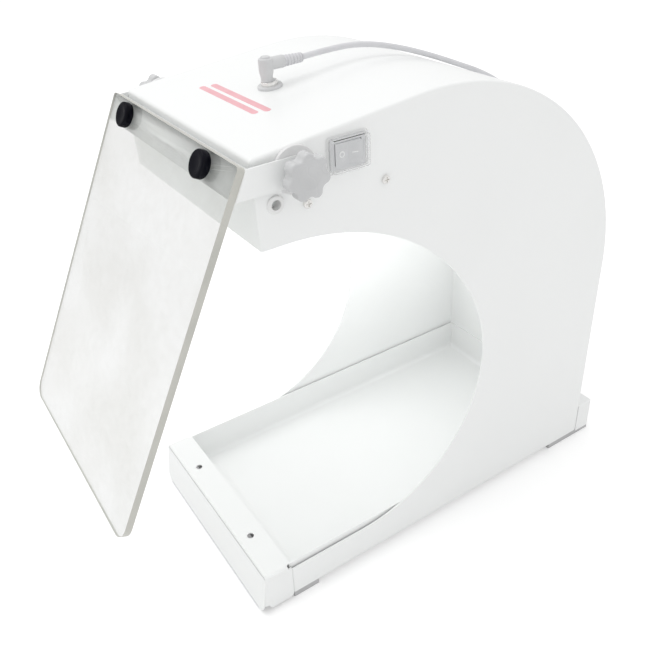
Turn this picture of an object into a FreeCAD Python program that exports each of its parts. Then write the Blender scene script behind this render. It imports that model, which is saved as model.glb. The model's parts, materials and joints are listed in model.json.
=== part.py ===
import FreeCAD, Part
import math
import os

os.makedirs("parts", exist_ok=True)

# Bench-top splash and dust hood for a polishing lathe: a folded steel hood with a
# C-shaped work opening in each side, a catch tray, a lamp in its head and a clear
# tilting shield.  Millimetres, +Z up, the user stands at -Y, +X is their right.
# Inside this script y = 0 is the face of the front bar; place() moves everything
# so that the origin lies under the middle of the whole object.

V = FreeCAD.Vector

# Base and catch tray
body_width = 228.0
sheet = 1.2
bar_depth = 35.0
bar_height = 47.0
bar_bend = 2.5
apron_splay = 6.5
apron_corner = 10.0
apron_bottom = 1.2
cheek_bottom = 3.0
cheek_corner = 5.0
tray_gap = 1.6
tray_bend = 7.0
foot_height = 7.0
bar_hole_radius = 3.4
bar_hole_spacing = 119.0
bar_hole_y = 20.3
relief_hole_radius = 2.2

# Hood outline, seen from the side
hood_depth = 438.5
back_radius = 232.5
back_centre_z = 238.5
top_slope = 6.2
head_lean = 2.4
head_front_y = 34.0
head_bend = 3.0
chin_lip = 9.0
toe_drop = 40.0
side_edge_round = 2.5
panel_lip = 18.0

# C-shaped work opening
cut_bottom = 41.0
cut_depth = 269.0
cut_low_radius = 150.0
cut_high_radius = 217.4
cut_change_angle = 22.0

# Rear bar and feet
rear_bar_depth = 22.0
rear_bar_top = 43.5
rear_bar_bottom = 4.4
front_foot_length = 29.0
rear_foot_length = 67.0
foot_width = 22.0
trim_thickness = 1.3

# Shield frame and its pivot
pivot_y = 67.5
pivot_below_top = 18.022
shield_lean = 26.2
pivot_to_shield = 39.2
shield_rise = 7.4
bracket_sheet = 1.5
bracket_clearance = 3.5
arm_height = 22.4
flange_drop = 23.8
shield_half_width = 117.5
shield_length = 305.0
shield_thickness = 6.0
shield_corner = 13.0
shield_top_corner = 3.0

# Knobs and screws
body_gap = 0.2
run_gap = 0.05
stud_radius = 4.0
star_radius = 17.5
star_lobe_radius = 4.5
star_valley_radius = 4.5
star_lobes = 7
star_thickness = 11.0
star_neck_radius = 8.5
star_neck = 6.8
star_neck_flare = 2.5
star_edge_round = 2.0
star_dish_radius = 26.0
star_dish_depth = 1.4
stud_reach = 14.0
disc_radius = 18.0
disc_edge_round = 0.6
rivet_wall = 1.6
rivet_collar = 1.4
rivet_collar_depth = 3.2
thumb_radius = 10.7
thumb_height = 7.5
thumb_edge_round = 1.6
thumb_stud_radius = 2.5
thumb_spacing = 148.0
thumb_drop = 11.5
thumb_nut_height = 2.4
thumb_nut_across = 8.0

# Lamp in the head
lamp_front_y = 62.0
lamp_depth = 103.0
lamp_floor_below_top = 60.724
lamp_wall = 26.0
lamp_window_x = 150.0
lamp_window_y = 66.0
diffuser_thickness = 3.0
diffuser_margin = 8.0
reflector_height = 20.0
board_thickness = 1.6
board_width = 20.0
led_count = 9
led_size = 5.0
led_height = 1.5
lamp_screw_y = (77.4, 148.5)
lamp_screw_rise = 14.3
screw_radius = 2.0
screw_head_radius = 3.6
screw_head_height = 2.3
screw_length = 8.0
screw_head_round = 1.1
screw_recess_arm = 2.2
screw_recess_half = 0.45
screw_recess_depth = 1.3
lamp_nut_across = 7.0
lamp_nut_height = 3.2
lead_radius = 1.2
lead_hole_radius = 4.0
lead_hole_x = 52.5
lead_hole_y = 116.0

# Snap bushing in the right panel
bushing_y = 51.0
bushing_below_top = 38.829
bushing_bore_radius = 3.9
bushing_barrel_radius = 5.6
bushing_flange_radius = 7.0
bushing_flange = 1.6
bushing_catch = 5.0
bushing_catch_grip = 0.7
bushing_edge_round = 0.8

# Rocker switch and its clear boot
switch_y = 113.4
switch_below_top = 21.308
switch_bezel_y = 30.6
switch_bezel_z = 23.4
switch_bezel = 1.8
switch_body_y = 26.8
switch_body_z = 20.0
switch_body_depth = 22.0
switch_wall = 1.5
switch_pocket_depth = 9.0
switch_corner = 1.5
rocker_pivot_depth = 3.0
rocker_face_slope = 10.0
rocker_tip = 7.0
rocker_gap = 0.35
rocker_crest = 5.6
rocker_keel = 2.6
rocker_keel_half = 4.0
trunnion_radius = 1.5
trunnion_reach = 1.3
boot_frame_y = 36.0
boot_frame_z = 28.6
boot_frame = 1.6
boot_height = 8.5
boot_wall = 0.9
boot_step = 1.5
boot_frame_corner = 3.0
boot_cap_corner = 2.6
boot_inner_corner = 1.4
terminal_length = 9.0
terminal_width = 4.8
terminal_sheet = 0.8
terminal_spacing_y = 14.0
terminal_spacing_z = 9.0

# Power inlet in the top and its plug
jack_x = -2.0
jack_y = 118.0
jack_flange_radius = 10.6
jack_flange = 2.4
jack_thread_radius = 5.9
jack_depth = 20.0
jack_ring_radius = 7.2
jack_ring = 3.2
jack_nut = 2.6
jack_nut_across = 15.0
jack_edge_round = 1.2
jack_ring_round = 0.6
jack_socket_depth = 10.0
jack_socket_radius = 2.85
jack_pin_radius = 1.0
jack_pin_length = 9.0
plug_radius = 6.3
plug_height = 19.5
plug_reach = 16.0
plug_neck_radius = 4.9
plug_top_round = 2.2
plug_shoulder = 1.3
relief_length = 18.0
relief_ribs = 6
relief_wall = 0.9
cord_radius = 2.5

# Coil and power adapter on the bench behind the hood
coil_middle_radius = 29.0
coil_turns_across = 3
coil_turns_high = 2
coil_turns = 4.25
coil_edge_round = 1.2
adapter_length = 74.0
adapter_width = 44.0
adapter_height = 34.0
adapter_side_gap = 6.0
adapter_bend = 4.0
adapter_relief_length = 24.0
adapter_relief_wall = 2.0
blade_length = 17.0
blade_width = 6.4
blade_thickness = 1.5
blade_spacing = 12.7
blade_inset = 20.0

half_width = body_width / 2.0
panel_inner = half_width - sheet
tray_outer = panel_inner - tray_gap
tray_inner = tray_outer - sheet
floor_bottom = foot_height + sheet
floor_top = floor_bottom + sheet
rear_y = hood_depth + rear_bar_depth
rivet_barrel_radius = stud_radius + rivet_wall
slope = math.radians(top_slope)
lean = math.radians(shield_lean)


def sin_cos(angle):
    return math.sin(angle), math.cos(angle)


def box(x0, x1, y0, y1, z0, z1):
    return Part.makeBox(x1 - x0, y1 - y0, z1 - z0, V(x0, y0, z0))


def rod(point, direction, radius, length):
    return Part.makeCylinder(radius, length, V(*point), V(*direction))


def ring(point, direction, outer, inner, length):
    return rod(point, direction, outer, length).cut(rod(point, direction, inner, length))


def hexagon(point, direction, across, length):
    """Hexagonal prism, across its flats, standing on point along direction."""
    radius = across / math.sqrt(3.0)
    turn = FreeCAD.Rotation(V(0, 0, 1), V(*direction))
    corners = [V(radius * math.cos(math.radians(60 * i)), radius * math.sin(math.radians(60 * i)), 0)
               for i in range(6)]
    placed = [turn.multVec(corner) + V(*point) for corner in corners]
    face = Part.Face(Part.makePolygon(placed + placed[:1]))
    return face.extrude(V(*direction).normalize() * length)


def mirror(shape):
    return shape.mirror(V(0, 0, 0), V(1, 0, 0))


def both_sides(shape):
    return Part.makeCompound([shape, mirror(shape)])


def fillet_where(shape, radius, test):
    """Round the edges whose middle point passes the test."""
    chosen = []
    for edge in shape.Edges:
        first, last = edge.ParameterRange
        if test(edge, edge.valueAt((first + last) / 2.0)):
            chosen.append(edge)
    return shape.makeFillet(radius, chosen)


def near(a, b, tolerance=0.02):
    return abs(a - b) < tolerance


def is_along(edge, axis):
    """True for a straight edge along X, Y or Z (axis 0, 1 or 2)."""
    if len(edge.Vertexes) < 2:
        return False
    step = edge.Vertexes[1].Point - edge.Vertexes[0].Point
    return abs(abs(step[axis]) - step.Length) < 1e-6 and near(edge.Length, step.Length, 1e-6)


def arc_yz(centre, radius, start, end):
    """Arc in the YZ plane; angles in radians from +Y towards +Z."""
    points = []
    for angle in (start, (start + end) / 2.0, end):
        s, c = sin_cos(angle)
        points.append(V(0, centre[0] + radius * c, centre[1] + radius * s))
    return Part.Arc(*points).toShape(), points[0], points[2]


def prism_x(edges, x0, x1):
    face = Part.Face(Part.Wire(edges))
    face.translate(V(x0, 0, 0))
    return face.extrude(V(x1 - x0, 0, 0))


def top_line_z(y):
    """Outer top face of the hood's flat slope at y."""
    s, c = sin_cos(slope)
    touch_y = hood_depth - back_radius - back_radius * s
    touch_z = back_centre_z + back_radius * c
    return touch_z - (touch_y - y) * math.tan(slope)


pivot_z = top_line_z(pivot_y) - pivot_below_top
switch_z = top_line_z(switch_y) - switch_below_top
bushing_z = top_line_z(bushing_y) - bushing_below_top
lamp_floor_z = top_line_z(lamp_front_y) - lamp_floor_below_top
lamp_screw_z = lamp_floor_z + lamp_screw_rise


def hood_block(inset, x_half):
    """The hood filled solid, its outline moved inwards by inset."""
    s, c = sin_cos(slope)
    centre = (hood_depth - back_radius, back_centre_z)
    radius = back_radius - inset
    back_arc, back_top, slope_end = arc_yz(centre, radius, 0.0, math.pi / 2.0 + slope)
    front_y = head_front_y + inset
    fold = V(0, front_y, top_line_z(front_y) - inset / c)
    chin = V(0, front_y + head_lean, fold.z - (top_line_z(head_front_y) - cut_top()))
    toe = V(0, bar_depth + inset, chin.z - toe_drop)
    heel = V(0, bar_depth + inset, foot_height)
    back_foot = V(0, hood_depth - inset, foot_height)
    edges = [
        Part.LineSegment(heel, toe).toShape(),
        Part.LineSegment(toe, chin).toShape(),
        Part.LineSegment(chin, fold).toShape(),
        Part.LineSegment(fold, slope_end).toShape(),
        back_arc,
        Part.LineSegment(back_top, back_foot).toShape(),
        Part.LineSegment(back_foot, heel).toShape(),
    ]
    block = prism_x(edges, -x_half, x_half)
    return fillet_where(block, head_bend - inset, lambda e, m: is_along(e, 0)
                        and near(m.y, fold.y) and near(m.z, fold.z))


def cut_centres():
    low = (cut_depth - cut_low_radius, cut_bottom + cut_low_radius)
    s, c = sin_cos(math.radians(cut_change_angle))
    shift = cut_high_radius - cut_low_radius
    high = (low[0] - shift * c, low[1] - shift * s)
    return low, high


def cut_top():
    return cut_centres()[1][1] + cut_high_radius


def work_opening_block():
    """The C-shaped opening, running out past the front and both sides."""
    low, high = cut_centres()
    change = math.radians(cut_change_angle)
    low_arc, low_start, low_end = arc_yz(low, cut_low_radius, -math.pi / 2.0, change)
    high_arc, high_start, high_end = arc_yz(high, cut_high_radius, change, math.pi / 2.0)
    front_low = V(0, -bar_depth, cut_bottom)
    front_high = V(0, -bar_depth, high_end.z)
    edges = [
        Part.LineSegment(front_low, low_start).toShape(),
        low_arc,
        high_arc,
        Part.LineSegment(high_end, front_high).toShape(),
        Part.LineSegment(front_high, front_low).toShape(),
    ]
    return prism_x(edges, -body_width, body_width)


def hood_shell():
    """Skin and both side panels as the welded hood, before it is split."""
    outer = hood_block(0.0, half_width)
    outer = fillet_where(outer, side_edge_round, lambda e, m: near(abs(m.x), half_width)
                         and m.z > back_centre_z - back_radius * 0.9 and m.y > head_front_y + 8.0
                         and (m.z > cut_top() or near(m.y, hood_depth, 1.0)))
    shell = outer.cut(hood_block(sheet, panel_inner))
    return shell.cut(work_opening_block())


def screw_holes():
    holes = []
    for y in lamp_screw_y:
        for side in (1, -1):
            holes.append(rod((side * (half_width + 1), y, lamp_screw_z), (-side, 0, 0),
                             screw_radius, 6 * sheet))
    return holes


def pivot_hole(side):
    return rod((side * (half_width + 1), pivot_y, pivot_z), (-side, 0, 0), rivet_barrel_radius, 4 * sheet)


def jack_frame():
    """Point on the top skin under the inlet, and the skin's outward normal."""
    s, c = sin_cos(slope)
    return V(jack_x, jack_y, top_line_z(jack_y)), V(0, -s, c)


def make_hood_skin(shell):
    inside = box(-panel_inner, panel_inner, 0, rear_y, floor_bottom, 2 * back_radius + 100)
    below_chin = box(-half_width, half_width, -5, bar_depth + 30, -5, cut_top())
    skin = shell.common(inside).cut(below_chin)
    base, normal = jack_frame()
    hole = rod(base - normal * 6, normal, jack_thread_radius + run_gap, 12)
    chin_y = head_front_y + head_lean
    lip = box(-panel_inner, panel_inner, chin_y, chin_y + chin_lip, cut_top(), cut_top() + sheet)
    return skin.cut(hole).fuse(lip).removeSplitter()


def make_side_panel(shell, side):
    plate = box(panel_inner, half_width, 0, rear_y, 0, 2 * back_radius + 100)
    lip = box(half_width - panel_lip, half_width, bar_depth + 1, hood_depth - 1.5 * sheet,
              foot_height, floor_bottom)
    if side < 0:
        plate = mirror(plate)
        lip = mirror(lip)
    panel = shell.common(plate).fuse(lip).removeSplitter()
    for hole in screw_holes():
        panel = panel.cut(hole)
    panel = panel.cut(pivot_hole(side))
    if side > 0:
        panel = panel.cut(rod((half_width + 1, bushing_y, bushing_z), (-1, 0, 0),
                              bushing_barrel_radius + run_gap, 4 * sheet))
        panel = panel.cut(switch_block(switch_body_y + 2 * run_gap, switch_body_z + 2 * run_gap,
                                       panel_inner - 1, half_width + 1))
    return panel


def apron_y(z):
    """Outer face of the front apron at height z: it splays forwards to y = 0."""
    return apron_splay * (z - apron_bottom) / (bar_height - apron_bottom)


def make_apron():
    """Splayed front flange with rounded lower corners."""
    outer = [V(0, 0, apron_bottom), V(0, apron_splay, bar_height),
             V(0, apron_splay + sheet, bar_height), V(0, sheet, apron_bottom)]
    apron = prism_x([Part.makePolygon(outer + outer[:1])], -half_width, half_width)
    x, z = half_width - apron_corner, apron_bottom + apron_corner
    corner = box(x, half_width + 1, -1, bar_depth, 0, z)
    corner = corner.cut(rod((x, -2, z), (0, 1, 0), apron_corner, bar_depth + 4))
    return apron.cut(corner).cut(mirror(corner))


def make_cheek():
    """Flap folded down at the right end of the front bar."""
    cheek = box(panel_inner, half_width, apron_splay + sheet, bar_depth, cheek_bottom, bar_height - 1)
    return fillet_where(cheek, cheek_corner, lambda e, m: is_along(e, 0) and near(m.z, cheek_bottom))


def make_base_pan():
    """Front bar and recessed catch tray, folded from one sheet."""
    top = box(-half_width, half_width, apron_splay, bar_depth, 0, bar_height)
    top = fillet_where(top, bar_bend, lambda e, m: near(m.z, bar_height) and not near(m.y, bar_depth))
    top = top.cut(box(-half_width, half_width, 0, bar_depth, -1, bar_height - bar_bend))
    top = top.cut(box(-panel_inner, panel_inner, apron_splay, bar_depth, 0, bar_height - sheet))
    apron = make_apron().cut(box(-half_width, half_width, 0, bar_depth, bar_height - bar_bend, 99))
    bar = top.fuse([apron, make_cheek(), mirror(make_cheek())]).removeSplitter()
    tray_back = hood_depth - sheet
    outer = box(-tray_outer, tray_outer, bar_depth - sheet, tray_back, floor_bottom, bar_height)
    outer = fillet_where(outer, tray_bend, lambda e, m: is_along(e, 1) and near(m.z, floor_bottom))
    inner = box(-tray_inner, tray_inner, bar_depth, tray_back - sheet, floor_top, bar_height + 1)
    inner = fillet_where(inner, tray_bend - sheet, lambda e, m: near(m.z, floor_top))
    pan = bar.fuse(outer.cut(inner)).removeSplitter()
    for side in (1, -1):
        x = side * bar_hole_spacing / 2.0
        pan = pan.cut(rod((x, bar_hole_y, bar_height - 3), (0, 0, 1), bar_hole_radius, 6))
        relief = (side * (tray_outer + relief_hole_radius - 0.6), bar_depth - 2.0, bar_height - 4)
        pan = pan.cut(rod(relief, (0, 0, 1), relief_hole_radius, 8))
    return pan


def make_rear_bar():
    bar = box(-half_width, half_width, hood_depth, rear_y, rear_bar_bottom, rear_bar_top)
    bar = fillet_where(bar, bar_bend, lambda e, m: near(m.z, rear_bar_top) and m.y > hood_depth + 1
                       or is_along(e, 2) and near(m.y, rear_y))
    hollow = box(-panel_inner, panel_inner, hood_depth + sheet, rear_y - sheet, 0, rear_bar_top - sheet)
    return bar.cut(hollow)


def make_front_foot():
    y0 = bar_depth + 0.5
    foot = box(half_width - foot_width, half_width - 0.4, y0, y0 + front_foot_length, 0, foot_height)
    return fillet_where(foot, 1.0, lambda e, m: is_along(e, 2))


def make_rear_foot():
    y1 = rear_y - 1.0
    y0 = y1 - rear_foot_length
    x0 = half_width - foot_width
    foot = box(x0, half_width - 0.4, y0, hood_depth - 0.1, 0, foot_height)
    tail = box(x0, half_width - 0.4, hood_depth - 0.1, y1, 0, rear_bar_bottom)
    return foot.fuse(tail).removeSplitter()


def make_edge_trim():
    """Rubber strip under the apron, with a lip behind it."""
    half = half_width - apron_corner
    lip_top = apron_bottom + 5.0
    outline = [V(0, 0, 0), V(0, 0, apron_bottom), V(0, sheet, apron_bottom),
               V(0, sheet + apron_y(lip_top), lip_top),
               V(0, sheet + apron_y(lip_top) + trim_thickness, lip_top),
               V(0, sheet + trim_thickness, 0)]
    return prism_x([Part.makePolygon(outline + outline[:1])], -half, half)


def shield_point(along, off):
    """Point on the shield: along its slope from the top edge, off its back face."""
    s, c = sin_cos(lean)
    y = pivot_y - off_total(off) * c - (along + shield_rise) * s
    z = pivot_z + off_total(off) * s - (along + shield_rise) * c
    return y, z


def off_total(off):
    return pivot_to_shield + off


def shield_normal():
    s, c = sin_cos(lean)
    return (0, -c, s)


def shield_slab(x_half, along0, along1, off0, off1):
    """Flat slab in the plane of the shield."""
    corners = [shield_point(along0, off0), shield_point(along1, off0),
               shield_point(along1, off1), shield_point(along0, off1)]
    points = [V(0, y, z) for y, z in corners]
    return prism_x([Part.makePolygon(points + points[:1])], -x_half, x_half)


def thumb_axis(side):
    y, z = shield_point(thumb_drop, -8.0)
    return (side * thumb_spacing / 2.0, y, z)


def thumb_holes():
    radius = thumb_stud_radius + run_gap
    return [rod(thumb_axis(side), shield_normal(), radius, 20) for side in (1, -1)]


def make_shield():
    slab = shield_slab(shield_half_width, 0, shield_length, 0, shield_thickness)
    bottom_z = shield_point(shield_length, 0)[1] + 30
    top_z = shield_point(0, 0)[1] - 30

    def is_corner(edge, middle):
        return near(abs(middle.x), shield_half_width) and near(edge.Length, shield_thickness)

    slab = fillet_where(slab, shield_corner, lambda e, m: is_corner(e, m) and m.z < bottom_z)
    slab = fillet_where(slab, shield_top_corner, lambda e, m: is_corner(e, m) and m.z > top_z)
    for hole in thumb_holes():
        slab = slab.cut(hole)
    return slab


def arm_inner_x():
    return half_width + bracket_clearance


def make_shield_bracket():
    """U-shaped bracket: a flange behind the shield and an arm along each side."""
    outer_x = arm_inner_x() + bracket_sheet
    flange = shield_slab(outer_x, 0, flange_drop, -bracket_sheet, 0)
    half = arm_height / 2.0
    top_y, top_z = shield_point(0, 0)
    low_y, low_z = shield_point(flange_drop, 0)
    tail_arc, tail_start, tail_end = arc_yz((pivot_y, pivot_z), half, -math.pi / 2.0, math.pi / 2.0)
    outline = [
        Part.LineSegment(V(0, low_y, low_z), tail_start).toShape(),
        tail_arc,
        Part.LineSegment(tail_end, V(0, top_y, top_z)).toShape(),
        Part.LineSegment(V(0, top_y, top_z), V(0, low_y, low_z)).toShape(),
    ]
    arm = prism_x(outline, arm_inner_x(), outer_x)
    bracket = flange.fuse([arm, mirror(arm)]).removeSplitter()
    bracket = fillet_where(bracket, 1.2, lambda e, m: near(abs(m.x), outer_x)
                           and near(e.Length, flange_drop, 0.5) and is_shield_front(m))
    for hole in thumb_holes():
        bracket = bracket.cut(hole)
    across = rod((-outer_x - 1, pivot_y, pivot_z), (1, 0, 0), stud_radius + run_gap, 2 * outer_x + 2)
    return bracket.cut(across)


def is_shield_front(point):
    s, c = sin_cos(lean)
    off = -(point.y - pivot_y) * c + (point.z - pivot_z) * s
    return near(off, pivot_to_shield, 0.05)


def make_bracket_nuts():
    nuts = []
    for side in (1, -1):
        y, z = shield_point(thumb_drop, -bracket_sheet - thumb_nut_height)
        nut = hexagon((side * thumb_spacing / 2.0, y, z), shield_normal(), thumb_nut_across,
                      thumb_nut_height)
        for hole in thumb_holes():
            nut = nut.cut(hole)
        nuts.append(nut)
    return Part.makeCompound(nuts)


def make_thumb_knob(side):
    """Round knob with a dished face and a rounded rim, on the front of the shield."""
    x = side * thumb_spacing / 2.0
    y, z = shield_point(thumb_drop, shield_thickness + body_gap)
    normal = shield_normal()
    head = rod((x, y, z), normal, thumb_radius, thumb_height)
    rims = [e for e in head.Edges if near(e.Length, 2 * math.pi * thumb_radius, 1)]
    head = head.makeFillet(thumb_edge_round, rims)
    return head.cut(thumb_stud_rod(side))


def thumb_stud_rod(side):
    x = side * thumb_spacing / 2.0
    y, z = shield_point(thumb_drop, -bracket_sheet - thumb_nut_height)
    reach = bracket_sheet + thumb_nut_height + shield_thickness + body_gap + thumb_height * 0.6
    return rod((x, y, z), shield_normal(), thumb_stud_radius, reach)


def star_x():
    """Where the right star knob's neck starts, outside the bracket's arm."""
    return arm_inner_x() + bracket_sheet + body_gap


def star_outline(x):
    """Closed outline of convex lobes and concave valleys, each tangent to the next."""
    lobe_centre = star_radius - star_lobe_radius
    half_step = math.pi / star_lobes
    reach = star_lobe_radius + star_valley_radius
    middle = lobe_centre * math.cos(half_step)
    valley_centre = middle + math.sqrt(middle ** 2 - lobe_centre ** 2 + reach ** 2)

    def at(radius, angle):
        return V(x, pivot_y + radius * math.cos(angle), pivot_z + radius * math.sin(angle))

    def touch(lobe_angle, valley_angle):
        lobe = at(lobe_centre, lobe_angle)
        valley = at(valley_centre, valley_angle)
        return lobe + (valley - lobe) * (star_lobe_radius / reach)

    edges = []
    for i in range(star_lobes):
        lobe_angle = 2 * math.pi * i / star_lobes + math.pi / 2
        before = touch(lobe_angle, lobe_angle - half_step)
        after = touch(lobe_angle, lobe_angle + half_step)
        following = touch(lobe_angle + 2 * half_step, lobe_angle + half_step)
        valley = at(valley_centre - star_valley_radius, lobe_angle + half_step)
        edges.append(Part.Arc(before, at(star_radius, lobe_angle), after).toShape())
        edges.append(Part.Arc(after, valley, following).toShape())
    return Part.Wire(edges)


def make_star_knob(side):
    start = star_x() + star_neck
    head = Part.Face(star_outline(start)).extrude(V(star_thickness, 0, 0))
    faces_x = (start, start + star_thickness)
    rims = [e for e in head.Edges if any(near(e.CenterOfMass.x, x) for x in faces_x)]
    head = head.makeFillet(star_edge_round, rims)
    neck = Part.makeCone(star_neck_radius, star_neck_radius + star_neck_flare, star_neck + 1.0,
                         V(star_x(), pivot_y, pivot_z), V(1, 0, 0))
    dish_x = start + star_thickness + star_dish_radius - star_dish_depth
    dish = Part.makeSphere(star_dish_radius, V(dish_x, pivot_y, pivot_z))
    knob = head.fuse(neck).removeSplitter().cut(dish).cut(stud_rod())
    return knob if side > 0 else mirror(knob)


def stud_rod():
    start = panel_inner - stud_reach + 2.0
    return rod((start, pivot_y, pivot_z), (1, 0, 0), stud_radius, star_x() + star_neck + 5.0 - start)


def make_friction_disc(side):
    disc = ring((half_width, pivot_y, pivot_z), (1, 0, 0), disc_radius, stud_radius + run_gap,
                bracket_clearance - body_gap)
    rims = [e for e in disc.Edges if near(e.Length, 2 * math.pi * disc_radius, 1)]
    disc = disc.makeFillet(disc_edge_round, rims)
    return disc if side > 0 else mirror(disc)


def make_rivet_nut(side):
    """Threaded insert pressed into the side panel for the star knob's stud."""
    barrel = rod((half_width, pivot_y, pivot_z), (-1, 0, 0), rivet_barrel_radius - run_gap, stud_reach)
    collar = rod((panel_inner, pivot_y, pivot_z), (-1, 0, 0), rivet_barrel_radius + rivet_collar,
                 rivet_collar_depth)
    bore = rod((half_width + 1, pivot_y, pivot_z), (-1, 0, 0), stud_radius + run_gap, stud_reach + 2)
    nut = barrel.fuse(collar).removeSplitter().cut(bore)
    return nut if side > 0 else mirror(nut)


def make_lamp_tray():
    """Folded tray across the head; its side flanges take the panel screws."""
    y0 = lamp_front_y
    y1 = y0 + lamp_depth
    z0 = lamp_floor_z
    outer = box(-panel_inner, panel_inner, y0, y1, z0, z0 + lamp_wall)
    inner = box(-panel_inner + sheet, panel_inner - sheet, y0 + sheet, y1 - sheet, z0 + sheet,
                z0 + lamp_wall + 1)
    tray = outer.cut(inner)
    middle = y0 + lamp_depth / 2.0
    window = box(-lamp_window_x / 2, lamp_window_x / 2, middle - lamp_window_y / 2,
                 middle + lamp_window_y / 2, z0 - 1, z0 + sheet + 1)
    tray = tray.cut(window)
    for hole in screw_holes():
        tray = tray.cut(hole)
    return tray


def make_lamp_screws():
    screws = []
    for y in lamp_screw_y:
        head = rod((half_width, y, lamp_screw_z), (1, 0, 0), screw_head_radius, screw_head_height)
        rim = [e for e in head.Edges if near(e.CenterOfMass.x, half_width + screw_head_height)]
        head = head.makeFillet(screw_head_round, rim)
        shank = rod((half_width - screw_length, y, lamp_screw_z), (1, 0, 0), screw_radius - run_gap,
                    screw_length)
        outer = half_width + screw_head_height
        arm, half = screw_recess_arm, screw_recess_half
        for a, b in ((arm, half), (half, arm)):
            head = head.cut(box(outer - screw_recess_depth, outer + 1, y - a, y + a,
                                lamp_screw_z - b, lamp_screw_z + b))
        screws.append(head.fuse(shank).removeSplitter())
    return both_sides(Part.makeCompound(screws))


def make_lamp_nuts():
    nuts = []
    for y in lamp_screw_y:
        start = panel_inner - sheet
        nut = hexagon((start, y, lamp_screw_z), (-1, 0, 0), lamp_nut_across, lamp_nut_height)
        bore = rod((start + 1, y, lamp_screw_z), (-1, 0, 0), screw_radius, lamp_nut_height + 2)
        nuts.append(nut.cut(bore))
    return both_sides(Part.makeCompound(nuts))


def lamp_plate(margin, z0, z1):
    middle = lamp_front_y + lamp_depth / 2.0
    return box(-lamp_window_x / 2 - margin, lamp_window_x / 2 + margin,
               middle - lamp_window_y / 2 - margin, middle + lamp_window_y / 2 + margin, z0, z1)


def diffuser_top():
    return lamp_floor_z + sheet + diffuser_thickness


def make_reflector():
    z0 = diffuser_top()
    outer = lamp_plate(diffuser_margin, z0, z0 + reflector_height)
    inner = lamp_plate(diffuser_margin - sheet, z0 - 1, z0 + reflector_height - sheet)
    hole = rod((lead_hole_x, lead_hole_y, z0), (0, 0, 1), lead_hole_radius, reflector_height + 1)
    return outer.cut(inner).cut(hole)


def board_box(half_length, half_depth, z0, z1):
    middle = lamp_front_y + lamp_depth / 2.0
    return box(-half_length, half_length, middle - half_depth, middle + half_depth, z0, z1)


def make_led_board():
    z1 = diffuser_top() + reflector_height - sheet
    return board_box(lamp_window_x / 2, board_width / 2, z1 - board_thickness, z1)


def make_leds():
    z1 = diffuser_top() + reflector_height - sheet - board_thickness
    middle = lamp_front_y + lamp_depth / 2.0
    pitch = (lamp_window_x - 14.0) / (led_count - 1)
    leds = []
    for i in range(led_count):
        x = (i - (led_count - 1) / 2.0) * pitch
        leds.append(box(x - led_size / 2, x + led_size / 2, middle - led_size / 2, middle + led_size / 2,
                        z1 - led_height, z1))
    return Part.makeCompound(leds)


def make_bushing():
    start = half_width + bushing_flange
    flange = rod((half_width, bushing_y, bushing_z), (1, 0, 0), bushing_flange_radius, bushing_flange)
    rim = [e for e in flange.Edges if near(e.CenterOfMass.x, start)]
    flange = flange.makeFillet(bushing_edge_round, rim)
    barrel = rod((half_width, bushing_y, bushing_z), (-1, 0, 0), bushing_barrel_radius,
                 sheet + bushing_catch)
    catch = Part.makeCone(bushing_barrel_radius + bushing_catch_grip, bushing_barrel_radius, bushing_catch,
                          V(panel_inner, bushing_y, bushing_z), V(-1, 0, 0))
    bore = rod((start + 1, bushing_y, bushing_z), (-1, 0, 0), bushing_bore_radius,
               bushing_flange + sheet + bushing_catch + 2)
    return flange.fuse([barrel, catch]).removeSplitter().cut(bore)


def switch_block(size_y, size_z, x0, x1):
    return box(x0, x1, switch_y - size_y / 2, switch_y + size_y / 2,
               switch_z - size_z / 2, switch_z + size_z / 2)


def make_switch_housing():
    """Bezel outside the panel, body behind it, with a pocket for the rocker."""
    bezel = switch_block(switch_bezel_y, switch_bezel_z, half_width, half_width + switch_bezel)
    bezel = fillet_where(bezel, switch_corner, lambda e, m: is_along(e, 0))
    body = switch_block(switch_body_y, switch_body_z, half_width - switch_body_depth, half_width)
    pocket = switch_block(switch_body_y - 2 * switch_wall, switch_body_z - 2 * switch_wall,
                          half_width - switch_pocket_depth, half_width + switch_bezel + 1)
    bearing = rocker_trunnions(run_gap)
    return bezel.fuse(body).removeSplitter().cut(pocket).cut(bearing)


def rocker_axis():
    return half_width - rocker_pivot_depth, switch_y


def rocker_half_z():
    return switch_body_z / 2 - switch_wall - rocker_gap


def rocker_trunnions(gap):
    """The rocker's axle stubs, which turn in the housing's side walls."""
    x0, y0 = rocker_axis()
    half = rocker_half_z() + trunnion_reach
    return rod((x0, y0, switch_z - half - gap), (0, 0, 1), trunnion_radius + gap, 2 * (half + gap))


def make_switch_rocker():
    """Rocker with two faces meeting at a shallow angle, at rest on its front half."""
    x0, y0 = rocker_axis()
    half_y = switch_body_y / 2 - switch_wall - rocker_gap
    half_z = rocker_half_z()
    half_top = half_y - 0.7
    half_waist = half_y - 1.2
    rim = rocker_crest + half_top * math.tan(math.radians(rocker_face_slope))
    points = [
        V(x0 - rocker_keel, y0 - rocker_keel_half, 0),
        V(x0 - 1.0, y0 - half_waist, 0),
        V(x0 + rim, y0 - half_top, 0),
        V(x0 + rocker_crest, y0, 0),
        V(x0 + rim, y0 + half_top, 0),
        V(x0 - 1.0, y0 + half_waist, 0),
        V(x0 - rocker_keel, y0 + rocker_keel_half, 0),
    ]
    face = Part.Face(Part.makePolygon(points + points[:1]))
    face.translate(V(0, 0, switch_z - half_z))
    rocker = face.extrude(V(0, 0, 2 * half_z)).fuse(rocker_trunnions(0)).removeSplitter()
    rocker.rotate(V(x0, y0, 0), V(0, 0, 1), -rocker_tip)
    return rocker


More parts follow.
